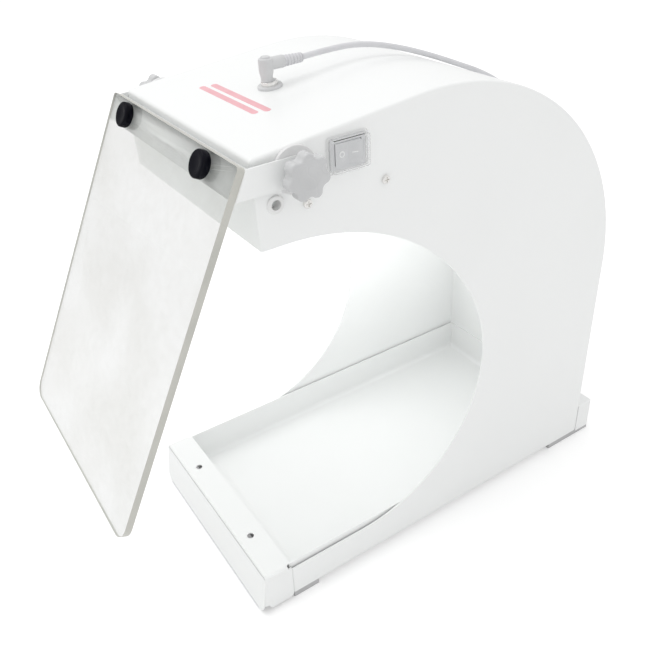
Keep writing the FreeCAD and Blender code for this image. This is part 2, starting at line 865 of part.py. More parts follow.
def make_switch_boot():
    """Clear flexible boot over the switch, with a flat frame against the panel."""
    frame = switch_block(boot_frame_y, boot_frame_z, half_width, half_width + boot_frame)
    frame = fillet_where(frame, boot_frame_corner, lambda e, m: is_along(e, 0))
    cap_y = boot_frame_y - 2 * boot_step
    cap_z = boot_frame_z - 2 * boot_step
    top = half_width + boot_height
    cap = switch_block(cap_y, cap_z, half_width, top)
    cap = fillet_where(cap, boot_cap_corner, lambda e, m: is_along(e, 0) or near(m.x, top))
    ceiling = top - boot_wall
    inside = switch_block(cap_y - 2 * boot_wall, cap_z - 2 * boot_wall, half_width - 1, ceiling)
    inside = fillet_where(inside, boot_inner_corner, lambda e, m: is_along(e, 0) or near(m.x, ceiling))
    return frame.fuse(cap).removeSplitter().cut(inside)


def terminal_end(side_y, side_z):
    """Middle of the free end of one of the switch's four terminals."""
    return V(half_width - switch_body_depth - terminal_length,
             switch_y + side_y * terminal_spacing_y / 2.0, switch_z + side_z * terminal_spacing_z / 2.0)


def make_switch_terminals():
    blades = []
    for side_y in (-1, 1):
        for side_z in (-1, 1):
            end = terminal_end(side_y, side_z)
            blades.append(box(end.x, end.x + terminal_length,
                              end.y - terminal_sheet / 2, end.y + terminal_sheet / 2,
                              end.z - terminal_width / 2, end.z + terminal_width / 2))
    return Part.makeCompound(blades)


def jack_rod(start, radius, length):
    base, normal = jack_frame()
    return rod(base + normal * start, normal, radius, length)


def make_jack_body():
    flange = jack_rod(0, jack_flange_radius, jack_flange)
    rim = [e for e in flange.Edges if e.CenterOfMass.z > top_line_z(jack_y) + jack_flange / 2]
    flange = flange.makeFillet(jack_edge_round, rim)
    barrel = jack_rod(-jack_depth, jack_thread_radius, jack_depth + jack_flange + jack_ring)
    socket = jack_rod(-jack_socket_depth, jack_socket_radius,
                      jack_socket_depth + jack_flange + jack_ring + 1)
    return flange.fuse(barrel).removeSplitter().cut(socket)


def make_jack_ring():
    outer = jack_rod(jack_flange, jack_ring_radius, jack_ring)
    rim = [e for e in outer.Edges if e.CenterOfMass.z > outer.CenterOfMass.z + 1]
    outer = outer.makeFillet(jack_ring_round, rim)
    return outer.cut(jack_rod(0, jack_thread_radius, jack_flange + jack_ring + 1))


def make_jack_nut():
    base, normal = jack_frame()
    start = base - normal * (sheet + jack_nut)
    nut = hexagon(tuple(start), tuple(normal), jack_nut_across, jack_nut)
    return nut.cut(jack_rod(-jack_depth, jack_thread_radius, jack_depth + 5))


def make_jack_pin():
    return jack_rod(-jack_socket_depth, jack_pin_radius, jack_pin_length)


def jack_tail():
    """Middle of the inlet's inner end, where its leads are soldered."""
    base, normal = jack_frame()
    return base - normal * jack_depth


def lead(points):
    wire = cord_path(points)[0]
    section = Part.Wire(Part.makeCircle(lead_radius, points[0], wire.Edges[0].tangentAt(0)))
    return wire.makePipeShell([section], True, False)


def make_jack_leads():
    """Two insulated wires from the inlet to the switch's front terminals."""
    leads = []
    for side in (-1, 1):
        tail = jack_tail() + V(1.7 * side, 0, 0)
        end = terminal_end(-1, side)
        low_z = end.z - 8.5
        leads.append(lead([tail, tail + V(1, 0.5, -9), V(tail.x + 15, tail.y - 5, low_z),
                           V(tail.x + 46, end.y + 3, low_z - 1), V(end.x - 19, end.y, end.z - 1), end]))
    return Part.makeCompound(leads)


def make_lamp_leads():
    """Two insulated wires from the switch's rear terminals to the lamp's board."""
    leads = []
    board_top = diffuser_top() + reflector_height - sheet
    for side in (-1, 1):
        start = terminal_end(1, side)
        x = lead_hole_x - 1.8 * side
        high_z = board_top + 15 + 5 * side
        leads.append(lead([start, start + V(-12, 0, -0.5), V(x + 8, lead_hole_y + 3, high_z),
                           V(x, lead_hole_y, board_top + 8), V(x, lead_hole_y - 0.3, board_top)]))
    return Part.makeCompound(leads)


def plug_axis_height():
    return jack_flange + jack_ring + plug_height - plug_neck_radius - plug_shoulder


def plug_frame():
    """Centre of the plug's sideways arm, above the inlet."""
    base, normal = jack_frame()
    return base + normal * plug_axis_height()


def make_plug_sleeve():
    """Metal barrel of the plug, standing in the inlet around its pin."""
    depth = jack_pin_length
    sleeve = jack_rod(-depth, jack_socket_radius - run_gap, depth + jack_flange + jack_ring)
    return sleeve.cut(jack_rod(-depth - 1, jack_pin_radius + run_gap, depth + 3))


def make_plug_body():
    lift = jack_flange + jack_ring
    post = jack_rod(lift, plug_radius, plug_height)
    top_z = post.BoundBox.ZMax - plug_radius / 2.0
    post = post.makeFillet(plug_top_round, [e for e in post.Edges if e.CenterOfMass.z > top_z])
    centre = plug_frame()
    arm = rod(tuple(centre), (0, 1, 0), plug_neck_radius, plug_reach)
    return post.fuse(arm).removeSplitter()


def make_plug_relief():
    """Tapered flexible sleeve with ribs, where the cord leaves the plug."""
    centre = plug_frame()
    start = V(centre.x, centre.y + plug_reach, centre.z)
    thin = cord_radius + relief_wall
    relief = Part.makeCone(plug_neck_radius - 1.0, thin, relief_length, start, V(0, 1, 0))
    pitch = relief_length / relief_ribs
    for i in range(relief_ribs):
        radius = plug_neck_radius - 0.1 - (plug_neck_radius - thin - 0.5) * i / relief_ribs
        rib = rod((start.x, start.y + i * pitch, start.z), (0, 1, 0), radius, pitch * 0.55)
        relief = relief.fuse(rib)
    return relief.removeSplitter()


def cord_route():
    """Corner points of the cord from the plug over the hood and down to the bench."""
    exit_point = plug_frame() + V(0, plug_reach + relief_length, 0)
    chosen = [
        (-2.0, 187.0, 484.5),
        (-1.5, 220.0, 481.5),
        (-1.0, 254.0, 472.5),
        (0.0, 288.0, 460.5),
        (1.0, 322.0, 446.5),
        (2.0, 354.0, 433.0),
        (4.0, 384.0, 415.0),
        (6.0, 412.0, 388.0),
        (8.0, 435.0, 352.0),
        (11.0, 450.0, 306.0),
        (13.0, 459.0, 252.0),
        (15.0, 466.0, 196.0),
        (16.0, 471.0, 140.0),
        (18.0, 474.0, 88.0),
        (20.0, 477.0, 44.0),
        (21.0, 484.0, 15.0),
        (22.0, 500.0, 3.4),
        (22.0, 516.0, 2.6),
    ]
    return [exit_point] + [V(*point) for point in chosen]


def cord_path(points):
    """Straight runs joined by tangent arcs as large as their runs allow."""
    edges = []
    radii = []
    start = points[0]
    for i in range(1, len(points) - 1):
        before, corner, after = points[i - 1], points[i], points[i + 1]
        back = (before - corner).normalize()
        ahead = (after - corner).normalize()
        turn = math.pi - back.getAngle(ahead)
        shorter = min((corner - before).Length, (after - corner).Length)
        tangent = 0.45 * shorter
        radii.append(tangent / math.tan(turn / 2.0))
        first = corner + back * tangent
        last = corner + ahead * tangent
        bisector = (back + ahead).normalize()
        depth = radii[-1] / math.cos(turn / 2.0) - radii[-1]
        edges.append(Part.LineSegment(start, first).toShape())
        edges.append(Part.Arc(first, corner + bisector * depth, last).toShape())
        start = last
    edges.append(Part.LineSegment(start, points[-1]).toShape())
    return Part.Wire(edges), radii


def make_cord():
    wire, radii = cord_path(cord_route())
    section = Part.Wire(Part.makeCircle(cord_radius, cord_route()[0], wire.Edges[0].tangentAt(0)))
    tube = wire.makePipeShell([section], True, False)
    print("cord length %.0f mm, volume / (section x length) %.4f, smallest radii %s"
          % (wire.Length, tube.Volume / (math.pi * cord_radius ** 2 * wire.Length),
             [round(r) for r in sorted(radii)[:4]]))
    return tube


def coil_centre():
    """The cord runs straight into the outermost turn of the coil."""
    last = cord_route()[-1]
    outermost = coil_middle_radius + (coil_turns_across - 1) * cord_radius
    return V(last.x - outermost, last.y, 0)


def make_cord_coil():
    """Outer shape of the tied coil that holds the rest of the cord."""
    diameter = 2 * cord_radius
    radial = coil_turns_across * diameter / 2.0
    height = coil_turns_high * diameter + 0.2
    coil = ring(tuple(coil_centre()), (0, 0, 1), coil_middle_radius + radial,
                coil_middle_radius - radial, height)
    print("coil length %.0f mm" % (2 * math.pi * coil_middle_radius * coil_turns))
    return coil.makeFillet(coil_edge_round, [e for e in coil.Edges if near(e.CenterOfMass.z, height)])


def adapter_face():
    """Middle of the adapter's end face, where the cord goes in."""
    centre = coil_centre()
    outside = coil_middle_radius + coil_turns_across * cord_radius
    return V(centre.x - outside - adapter_side_gap, centre.y + coil_middle_radius, 3 * cord_radius)


def make_adapter():
    face = adapter_face()
    shell = box(face.x - adapter_length, face.x, face.y - adapter_width / 2, face.y + adapter_width / 2,
                0, adapter_height)
    return fillet_where(shell, adapter_bend, lambda e, m: not near(m.z, 0))


def make_adapter_relief():
    face = adapter_face()
    return Part.makeCone(cord_radius + adapter_relief_wall, cord_radius + relief_wall,
                         adapter_relief_length, face, V(1, 0, 0))


def make_adapter_blades():
    face = adapter_face()
    x = face.x - adapter_length + blade_inset
    blades = []
    for side in (1, -1):
        y = face.y + side * blade_spacing / 2.0
        blades.append(box(x - blade_width / 2, x + blade_width / 2,
                          y - blade_thickness / 2, y + blade_thickness / 2,
                          adapter_height, adapter_height + blade_length))
    return Part.makeCompound(blades)


def place(shape):
    """Move a finished piece so that the origin is under the object's middle."""
    front_y, front_z = shield_point(shield_length, shield_thickness)
    moved = shape.copy()
    moved.translate(V(0, -(front_y + rear_y) / 2.0, 0))
    return moved


def save(name, shape):
    if not shape.isValid():
        print("INVALID", name)
    place(shape).exportStep("parts/%s.step" % name)
    print("%-22s %3d solids %10.0f mm3" % (name, len(shape.Solids), shape.Volume))


def build():
    shell = hood_shell()
    save("base_pan", make_base_pan())
    save("rear_bar", make_rear_bar())
    save("hood_skin", make_hood_skin(shell))
    save("hood_side_right", make_side_panel(shell, 1))
    save("hood_side_left", make_side_panel(shell, -1))
    save("front_edge_trim", make_edge_trim())
    for side, name in ((1, "right"), (-1, "left")):
        front = make_front_foot()
        rear = make_rear_foot()
        save("front_foot_" + name, front if side > 0 else mirror(front))
        save("rear_foot_" + name, rear if side > 0 else mirror(rear))
    save("shield", make_shield())
    save("shield_bracket", make_shield_bracket())
    save("shield_nuts", make_bracket_nuts())
    for side, name in ((1, "right"), (-1, "left")):
        save("shield_knob_" + name, make_thumb_knob(side))
        save("shield_stud_" + name, thumb_stud_rod(side))
        save("star_knob_" + name, make_star_knob(side))
        save("star_stud_" + name, stud_rod() if side > 0 else mirror(stud_rod()))
        save("friction_disc_" + name, make_friction_disc(side))
        save("rivet_nut_" + name, make_rivet_nut(side))
    save("lamp_tray", make_lamp_tray())
    save("lamp_screws", make_lamp_screws())
    save("lamp_nuts", make_lamp_nuts())
    save("lamp_diffuser", lamp_plate(diffuser_margin, lamp_floor_z + sheet, diffuser_top()))
    save("lamp_reflector", make_reflector())
    save("led_board", make_led_board())
    save("led_chips", make_leds())
    save("snap_bushing", make_bushing())
    save("switch_housing", make_switch_housing())
    save("switch_rocker", make_switch_rocker())
    save("switch_boot", make_switch_boot())
    save("switch_terminals", make_switch_terminals())
    save("jack_body", make_jack_body())
    save("jack_ring", make_jack_ring())
    save("jack_nut", make_jack_nut())
    save("jack_pin", make_jack_pin())
    save("jack_leads", make_jack_leads())
    save("lamp_leads", make_lamp_leads())
    save("plug_sleeve", make_plug_sleeve())
    save("plug_body", make_plug_body())
    save("plug_relief", make_plug_relief())
    save("power_cord", make_cord())
    save("cord_coil", make_cord_coil())
    save("power_adapter", make_adapter())
    save("adapter_relief", make_adapter_relief())
    save("adapter_blades", make_adapter_blades())


build()
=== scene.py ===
import bmesh
import bpy
import json
import math
from mathutils import Matrix, Vector


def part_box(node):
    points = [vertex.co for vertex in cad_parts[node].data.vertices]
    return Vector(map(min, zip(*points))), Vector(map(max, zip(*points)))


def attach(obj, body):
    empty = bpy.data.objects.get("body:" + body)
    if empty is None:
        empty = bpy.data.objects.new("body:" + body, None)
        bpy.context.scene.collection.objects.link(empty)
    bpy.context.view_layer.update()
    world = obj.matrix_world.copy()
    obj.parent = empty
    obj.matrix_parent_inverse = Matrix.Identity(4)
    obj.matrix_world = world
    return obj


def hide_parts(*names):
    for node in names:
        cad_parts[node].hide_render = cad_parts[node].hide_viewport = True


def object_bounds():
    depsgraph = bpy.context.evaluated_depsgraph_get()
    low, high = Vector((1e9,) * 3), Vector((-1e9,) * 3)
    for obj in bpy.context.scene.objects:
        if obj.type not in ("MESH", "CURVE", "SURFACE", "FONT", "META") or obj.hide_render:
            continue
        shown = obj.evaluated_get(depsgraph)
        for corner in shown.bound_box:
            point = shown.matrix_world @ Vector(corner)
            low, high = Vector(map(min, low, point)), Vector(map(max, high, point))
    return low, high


# Looks for the bench-top splash hood. Everything is in metres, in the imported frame:
# +X is the right of a user who faces the shield, +Y the back of the hood, +Z up.

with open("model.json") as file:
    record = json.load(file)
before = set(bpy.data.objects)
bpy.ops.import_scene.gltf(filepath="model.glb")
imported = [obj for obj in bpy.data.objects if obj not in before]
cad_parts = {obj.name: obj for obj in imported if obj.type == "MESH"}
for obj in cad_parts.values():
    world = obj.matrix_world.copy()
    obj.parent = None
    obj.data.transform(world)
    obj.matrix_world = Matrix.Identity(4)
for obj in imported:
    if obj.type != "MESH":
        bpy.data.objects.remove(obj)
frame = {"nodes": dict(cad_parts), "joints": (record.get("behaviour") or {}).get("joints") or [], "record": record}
nodes = frame["nodes"]
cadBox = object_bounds()
lowCorner, highCorner = cadBox
print("frame loaded:", len(nodes), "nodes")

# camera
camera = {
    "azimuth": 58.28,      # round the object, from its front towards its right
    "elevation": 31.33,
    "roll": -3.11,         # the horizon leans a little
    "lens": 41.9,
    "shiftY": -0.037,
    "place": (0.5451, -0.3553, 0.6343),
}


def makeCamera(c):
    az, el, roll = (math.radians(c[k]) for k in ("azimuth", "elevation", "roll"))
    back = Vector((math.sin(az) * math.cos(el), -math.cos(az) * math.cos(el), math.sin(el)))
    flatRight = Vector((math.cos(az), math.sin(az), 0.0))
    flatUp = back.cross(flatRight)
    right = flatRight * math.cos(roll) + flatUp * math.sin(roll)
    up = flatUp * math.cos(roll) - flatRight * math.sin(roll)
    data = bpy.data.cameras.new("viewCamera")
    data.lens = c["lens"]
    data.sensor_width = 36.0
    data.shift_y = c["shiftY"]
    data.clip_start, data.clip_end = 0.01, 60.0
    cam = bpy.data.objects.new("viewCamera", data)
    turn = Matrix((right, up, back)).transposed().to_4x4()
    cam.matrix_world = Matrix.Translation(c["place"]) @ turn
    bpy.context.scene.collection.objects.link(cam)
    bpy.context.scene.camera = cam


makeCamera(camera)

# power cord
cord = {
    "radius": 0.0025,
    "points": [            # from the plug over the top, down the back and along the bench
        (-0.0020, 0.0122, 0.4845),
        (-0.0015, 0.0452, 0.4815),
        (-0.0010, 0.0792, 0.4725),
        (0.0000, 0.1132, 0.4605),
        (0.0010, 0.1472, 0.4465),
        (0.0020, 0.1792, 0.4330),
        (0.0040, 0.2092, 0.4150),
        (0.0060, 0.2372, 0.3880),
        (0.0080, 0.2602, 0.3520),
        (0.0110, 0.2752, 0.3060),
        (0.0130, 0.2842, 0.2520),
        (0.0150, 0.2912, 0.1960),
        (0.0160, 0.2962, 0.1400),
        (0.0180, 0.2992, 0.0880),
        (0.0200, 0.3022, 0.0440),
        (0.0210, 0.3092, 0.0150),
        (0.0220, 0.3252, 0.0034),
        (0.0220, 0.3412, 0.0026),
    ],
    "coilCentre": (-0.0120, 0.3412),
    # angle in turns, radius and height of the cord's middle, from the first turn to the way out
    "coilPath": [
        (0.00, 0.0340, 0.0026),
        (0.80, 0.0340, 0.0026),
        (1.00, 0.0290, 0.0026),
        (1.80, 0.0290, 0.0026),
        (2.00, 0.0240, 0.0026),
        (2.64, 0.0240, 0.0026),
        (2.84, 0.0240, 0.0077),
        (3.50, 0.0240, 0.0077),
        (3.70, 0.0290, 0.0077),
        (4.25, 0.0290, 0.0077),
    ],
    "pointsPerTurn": 24,
    "length": 1.48,
}


# turns of the coil as points, radius and height eased between the stated angles
def coilPoints(c):
    path = c["coilPath"]
    count = round(path[-1][0] * c["pointsPerTurn"])
    widen = 1.0 + 0.5 * (math.pi / c["pointsPerTurn"]) ** 2    # the spline cuts a little inside its points
    points = []
    for i in range(1, count + 1):
        turn = path[-1][0] * i / count
        k = next(n for n in range(1, len(path)) if turn <= path[n][0] + 1e-9)
        (t0, r0, z0), (t1, r1, z1) = path[k - 1], path[k]
        share = (turn - t0) / (t1 - t0)
        share = share * share * (3 - 2 * share)
        radius = (r0 + (r1 - r0) * share) * widen
        angle = 2 * math.pi * turn
        points.append((c["coilCentre"][0] + radius * math.cos(angle),
                       c["coilCentre"][1] + radius * math.sin(angle), z0 + (z1 - z0) * share))
    return points


def makeCord(c):
    reliefLow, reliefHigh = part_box("plug_relief")
    start = ((reliefLow.x + reliefHigh.x) / 2, reliefHigh.y - 0.002, (reliefLow.z + reliefHigh.z) / 2)
    gripLow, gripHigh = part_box("adapter_relief")
    finish = (gripHigh.x - 0.006, (gripLow.y + gripHigh.y) / 2, (gripLow.z + gripHigh.z) / 2)
    points = [start] + c["points"] + coilPoints(c) + [(gripHigh.x + 0.004, finish[1], 0.0076), finish]
    data = bpy.data.curves.new("powerCord", "CURVE")
    data.dimensions = "3D"
    data.bevel_depth = 1.0            # the thickness is on the points
    data.bevel_resolution = 5
    data.resolution_u = 6
    data.use_fill_caps = True
    spline = data.splines.new("NURBS")
    spline.points.add(len(points) - 1)
    for place, point in zip(spline.points, points):
        place.co = (*point, 1.0)
        place.radius = c["radius"]
    spline.order_u = 3
    spline.use_endpoint_u = True
    flex = bpy.data.objects.new("powerCord", data)
    bpy.context.scene.collection.objects.link(flex)
    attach(flex, "hood")
    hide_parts("power_cord", "cord_coil")
    return flex, start


powerCord, cordStart = makeCord(cord)
print("cord laid")

# shader node groups


def newGroup(name, inputs, outputs):
    group = bpy.data.node_groups.new(name, "ShaderNodeTree")
    for label, kind, value in inputs:
        socket = group.interface.new_socket(label, in_out="INPUT", socket_type=kind)
        socket.default_value = value
    for label, kind in outputs:
        group.interface.new_socket(label, in_out="OUTPUT", socket_type=kind)
    return group, group.nodes.new("NodeGroupInput"), group.nodes.new("NodeGroupOutput")


def addNoise(group, coords, scaleSocket, detail, roughness=0.5):
    noise = group.nodes.new("ShaderNodeTexNoise")
    noise.inputs["Detail"].default_value = detail
    noise.inputs["Roughness"].default_value = roughness
    group.links.new(coords, noise.inputs["Vector"])
    group.links.new(scaleSocket, noise.inputs["Scale"])
    return noise.outputs["Fac"]


def addRange(group, value, low, high, toLow=0.0, toHigh=1.0):
    spread = group.nodes.new("ShaderNodeMapRange")
    group.links.new(value, spread.inputs["Value"])
    for name, setting in (("From Min", low), ("From Max", high), ("To Min", toLow), ("To Max", toHigh)):
        if isinstance(setting, (int, float)):
            spread.inputs[name].default_value = setting
        else:
            group.links.new(setting, spread.inputs[name])
    return spread.outputs["Result"]


def addMix(group, factor, first, second):
    mix = group.nodes.new("ShaderNodeMix")
    mix.data_type = "RGBA"
    for socket, setting in ((mix.inputs[0], factor), (mix.inputs[6], first), (mix.inputs[7], second)):
        if hasattr(setting, "is_output"):
            group.links.new(setting, socket)
        else:
            socket.default_value = setting
    return mix.outputs[2]


def addMath(group, operation, first, second):
    step = group.nodes.new("ShaderNodeMath")
    step.operation = operation
    for socket, setting in zip(step.inputs, (first, second)):
        if hasattr(setting, "is_output"):
            group.links.new(setting, socket)
        else:
            socket.default_value = setting
    return step.outputs[0]


# cloudy colour and gloss with a fine grain: paint, plastic and rubber
def makeFinishGroup():
    group, into, out = newGroup("surfaceFinish", [
        ("Base", "NodeSocketColor", (0.8, 0.8, 0.8, 1)),
        ("Shade", "NodeSocketColor", (0.7, 0.7, 0.7, 1)),
        ("Patch Scale", "NodeSocketFloat", 18.0),
        ("Grain Scale", "NodeSocketFloat", 500.0),
        ("Rough Low", "NodeSocketFloat", 0.3),
        ("Rough High", "NodeSocketFloat", 0.4),
    ], [("Color", "NodeSocketColor"), ("Roughness", "NodeSocketFloat"), ("Height", "NodeSocketFloat")])
    coords = group.nodes.new("ShaderNodeTexCoord").outputs["Object"]
    patches = addNoise(group, coords, into.outputs["Patch Scale"], 1.0)
    grain = addNoise(group, coords, into.outputs["Grain Scale"], 2.0)
    fine = addRange(group, grain, 0.35, 0.65, 0.0, 0.35)
    cloud = addMath(group, "ADD", addRange(group, patches, 0.38, 0.66, 0.0, 0.65), fine)
    group.links.new(addMix(group, cloud, into.outputs["Base"], into.outputs["Shade"]), out.inputs["Color"])
    rough = addRange(group, patches, 0.32, 0.68, into.outputs["Rough Low"], into.outputs["Rough High"])
    group.links.new(rough, out.inputs["Roughness"])
    group.links.new(grain, out.inputs["Height"])
    return group


# mask of the outer edges, broken up so that wear isn't even
def makeEdgeGroup():
    group, into, out = newGroup("edgeMask", [
        ("Radius", "NodeSocketFloat", 0.0006),
        ("Breakup Scale", "NodeSocketFloat", 90.0),
    ], [("Mask", "NodeSocketFloat")])
    bevel = group.nodes.new("ShaderNodeBevel")
    bevel.samples = 3
    group.links.new(into.outputs["Radius"], bevel.inputs["Radius"])
    normal = group.nodes.new("ShaderNodeNewGeometry").outputs["Normal"]
    dot = group.nodes.new("ShaderNodeVectorMath")
    dot.operation = "DOT_PRODUCT"
    group.links.new(bevel.outputs["Normal"], dot.inputs[0])
    group.links.new(normal, dot.inputs[1])
    bent = addRange(group, dot.outputs["Value"], 0.99, 0.75)
    coords = group.nodes.new("ShaderNodeTexCoord").outputs["Object"]
    broken = addRange(group, addNoise(group, coords, into.outputs["Breakup Scale"], 4.0), 0.42, 0.62)
    group.links.new(addMath(group, "MULTIPLY", bent, broken), out.inputs["Mask"])
    return group


# sparse fine specks, a little thicker in patches
def makeDustGroup():
    group, into, out = newGroup("fineDust", [
        ("Speck Scale", "NodeSocketFloat", 700.0),
        ("Amount", "NodeSocketFloat", 0.3),
    ], [("Mask", "NodeSocketFloat")])
    coords = group.nodes.new("ShaderNodeTexCoord").outputs["Object"]
    cells = group.nodes.new("ShaderNodeTexVoronoi")
    group.links.new(coords, cells.inputs["Vector"])
    group.links.new(into.outputs["Speck Scale"], cells.inputs["Scale"])
    specks = addRange(group, cells.outputs["Distance"], 0.22, 0.06)
    patchScale = addMath(group, "MULTIPLY", into.outputs["Speck Scale"], 0.04)
    patches = addRange(group, addNoise(group, coords, patchScale, 3.0), 0.45, 0.7)
    mask = addMath(group, "MULTIPLY", specks, patches)
    group.links.new(addMath(group, "MULTIPLY", mask, into.outputs["Amount"]), out.inputs["Mask"])
    return group


# lengthwise scratches of drawn, turned or plated metal
def makeBrushGroup():
    group, into, out = newGroup("brushedGrain", [
        ("Base", "NodeSocketColor", (0.8, 0.8, 0.8, 1)),
        ("Shade", "NodeSocketColor", (0.6, 0.6, 0.6, 1)),
        ("Stretch", "NodeSocketVector", (1.0, 1.0, 12.0)),
        ("Grain Scale", "NodeSocketFloat", 300.0),
        ("Rough Low", "NodeSocketFloat", 0.2),
        ("Rough High", "NodeSocketFloat", 0.4),
    ], [("Color", "NodeSocketColor"), ("Roughness", "NodeSocketFloat"), ("Height", "NodeSocketFloat")])
    coords = group.nodes.new("ShaderNodeTexCoord").outputs["Object"]
    stretched = group.nodes.new("ShaderNodeVectorMath")
    stretched.operation = "MULTIPLY"
    group.links.new(coords, stretched.inputs[0])
    group.links.new(into.outputs["Stretch"], stretched.inputs[1])
    grain = addNoise(group, stretched.outputs["Vector"], into.outputs["Grain Scale"], 4.0, 0.65)
    shade = addRange(group, grain, 0.3, 0.7)
    group.links.new(addMix(group, shade, into.outputs["Base"], into.outputs["Shade"]), out.inputs["Color"])
    rough = addRange(group, grain, 0.3, 0.7, into.outputs["Rough Low"], into.outputs["Rough High"])
    group.links.new(rough, out.inputs["Roughness"])
    group.links.new(grain, out.inputs["Height"])
    return group


groups = {
    "finish": makeFinishGroup(),
    "edge": makeEdgeGroup(),
    "dust": makeDustGroup(),
    "brush": makeBrushGroup(),
}
print("shader groups made")

# materials


def placeGroup(tree, name, values):
    node = tree.nodes.new("ShaderNodeGroup")
    node.node_tree = groups[name]
    for label, value in values.items():
        node.inputs[label].default_value = value
    return node


def startMaterial(name):
    material = bpy.data.materials.new(name)
    material.use_nodes = True
    tree = material.node_tree
    shader = tree.nodes["Principled BSDF"]
    return material, tree, shader


def addBump(tree, shader, height, strength, distance):
    bump = tree.nodes.new("ShaderNodeBump")
    bump.inputs["Strength"].default_value = strength
    bump.inputs["Distance"].default_value = distance
    tree.links.new(height, bump.inputs["Height"])
    tree.links.new(bump.outputs["Normal"], shader.inputs["Normal"])


# paint, plastic or rubber from one dictionary of settings
def solidFinish(name, f):
    material, tree, shader = startMaterial(name)
    grain = placeGroup(tree, "finish", {
        "Base": (*f["base"], 1), "Shade": (*f["shade"], 1), "Patch Scale": f["patch"],
        "Grain Scale": f["grain"], "Rough Low": f["rough"][0], "Rough High": f["rough"][1]})
    color = grain.outputs["Color"]
    if "worn" in f:
        edge = placeGroup(tree, "edge", {"Radius": f["edgeRadius"], "Breakup Scale": f["breakup"]})
        share = addMath(tree, "MULTIPLY", edge.outputs["Mask"], f["wear"])
        color = addMix(tree, share, color, (*f["worn"], 1))
    if "dust" in f:
        dust = placeGroup(tree, "dust", {"Speck Scale": f["dustScale"], "Amount": f["dustAmount"]})
        color = addMix(tree, dust.outputs["Mask"], color, (*f["dust"], 1))
    tree.links.new(color, shader.inputs["Base Color"])
    tree.links.new(grain.outputs["Roughness"], shader.inputs["Roughness"])
    shader.inputs["IOR"].default_value = f.get("ior", 1.5)
    shader.inputs["Specular IOR Level"].default_value = f.get("specular", 0.5)
    shader.inputs["Coat Weight"].default_value = f.get("coat", 0.0)
    shader.inputs["Coat Roughness"].default_value = f.get("coatRough", 0.1)
    addBump(tree, shader, grain.outputs["Height"], f["bump"], f["bumpDepth"])
    return material


def metalFinish(name, f):
    material, tree, shader = startMaterial(name)
    grain = placeGroup(tree, "brush", {
        "Base": (*f["base"], 1), "Shade": (*f["shade"], 1), "Stretch": f["stretch"],
        "Grain Scale": f["grain"], "Rough Low": f["rough"][0], "Rough High": f["rough"][1]})
    tree.links.new(grain.outputs["Color"], shader.inputs["Base Color"])
    tree.links.new(grain.outputs["Roughness"], shader.inputs["Roughness"])
    shader.inputs["Metallic"].default_value = 1.0
    addBump(tree, shader, grain.outputs["Height"], f["bump"], f["bumpDepth"])
    return material


# clear or frosted plastic; light passes it without a hard shadow
def clearFinish(name, f):
    material, tree, shader = startMaterial(name)
    grain = placeGroup(tree, "finish", {
        "Base": (*f["base"], 1), "Shade": (*f["shade"], 1), "Patch Scale": f["patch"],
        "Grain Scale": f["grain"], "Rough Low": f["rough"][0], "Rough High": f["rough"][1]})
    tree.links.new(grain.outputs["Color"], shader.inputs["Base Color"])
    tree.links.new(grain.outputs["Roughness"], shader.inputs["Roughness"])
    shader.inputs["Transmission Weight"].default_value = f["clear"]
    shader.inputs["IOR"].default_value = f["ior"]
    addBump(tree, shader, grain.outputs["Height"], f["bump"], f["bumpDepth"])
    passing = tree.nodes.new("ShaderNodeBsdfTransparent")
    passing.inputs["Color"].default_value = (*f["shadow"], 1)
    ray = tree.nodes.new("ShaderNodeLightPath")
    either = addMath(tree, "MAXIMUM", ray.outputs["Is Shadow Ray"], ray.outputs["Is Diffuse Ray"])
    mix = tree.nodes.new("ShaderNodeMixShader")
    tree.links.new(either, mix.inputs[0])
    tree.links.new(shader.outputs["BSDF"], mix.inputs[1])
    tree.links.new(passing.outputs["BSDF"], mix.inputs[2])
    tree.links.new(mix.outputs["Shader"], tree.nodes["Material Output"].inputs["Surface"])
    return material


paint = {"base": (0.90, 0.91, 0.905), "shade": (0.89, 0.90, 0.895), "patch": 9.0, "grain": 620.0,
         "rough": (0.28, 0.34), "bump": 0.12, "bumpDepth": 0.00012, "coat": 0.25, "coatRough": 0.14,
         "worn": (0.80, 0.80, 0.79), "wear": 0.3, "edgeRadius": 0.0004, "breakup": 130.0,
         "dust": (0.74, 0.73, 0.70), "dustScale": 620.0, "dustAmount": 0.07}
blackKnob = {"base": (0.003, 0.003, 0.006), "shade": (0.006, 0.006, 0.010), "patch": 60.0, "grain": 1500.0,
             "rough": (0.16, 0.28), "bump": 0.10, "bumpDepth": 0.00005, "ior": 1.45, "specular": 0.0,
             "coat": 0.16, "coatRough": 0.12,
             "worn": (0.03, 0.03, 0.035), "wear": 0.5, "edgeRadius": 0.0004, "breakup": 300.0,
             "dust": (0.20, 0.20, 0.21), "dustScale": 1600.0, "dustAmount": 0.03}
starPlastic = {"base": (0.60, 0.605, 0.61), "shade": (0.55, 0.555, 0.56), "patch": 45.0, "grain": 1300.0,
               "rough": (0.22, 0.34), "bump": 0.12, "bumpDepth": 0.00006, "coat": 0.3, "coatRough": 0.1,
               "worn": (0.62, 0.62, 0.62), "wear": 0.4, "edgeRadius": 0.0005, "breakup": 240.0,
               "dust": (0.7, 0.7, 0.68), "dustScale": 1200.0, "dustAmount": 0.2}
# lighter copy of the star-knob plastic for the friction discs: painted light that lifts them out of the shade they
# sit in
discPaintedLight = dict(starPlastic, base=(0.80, 0.80, 0.80), shade=(0.75, 0.75, 0.75), rough=(0.4, 0.55), coat=0.0)
footRubber = {"base": (0.52, 0.52, 0.525), "shade": (0.46, 0.46, 0.465), "patch": 40.0, "grain": 1100.0,
              "rough": (0.62, 0.82), "bump": 0.35, "bumpDepth": 0.00012,
              "dust": (0.66, 0.65, 0.62), "dustScale": 900.0, "dustAmount": 0.35}
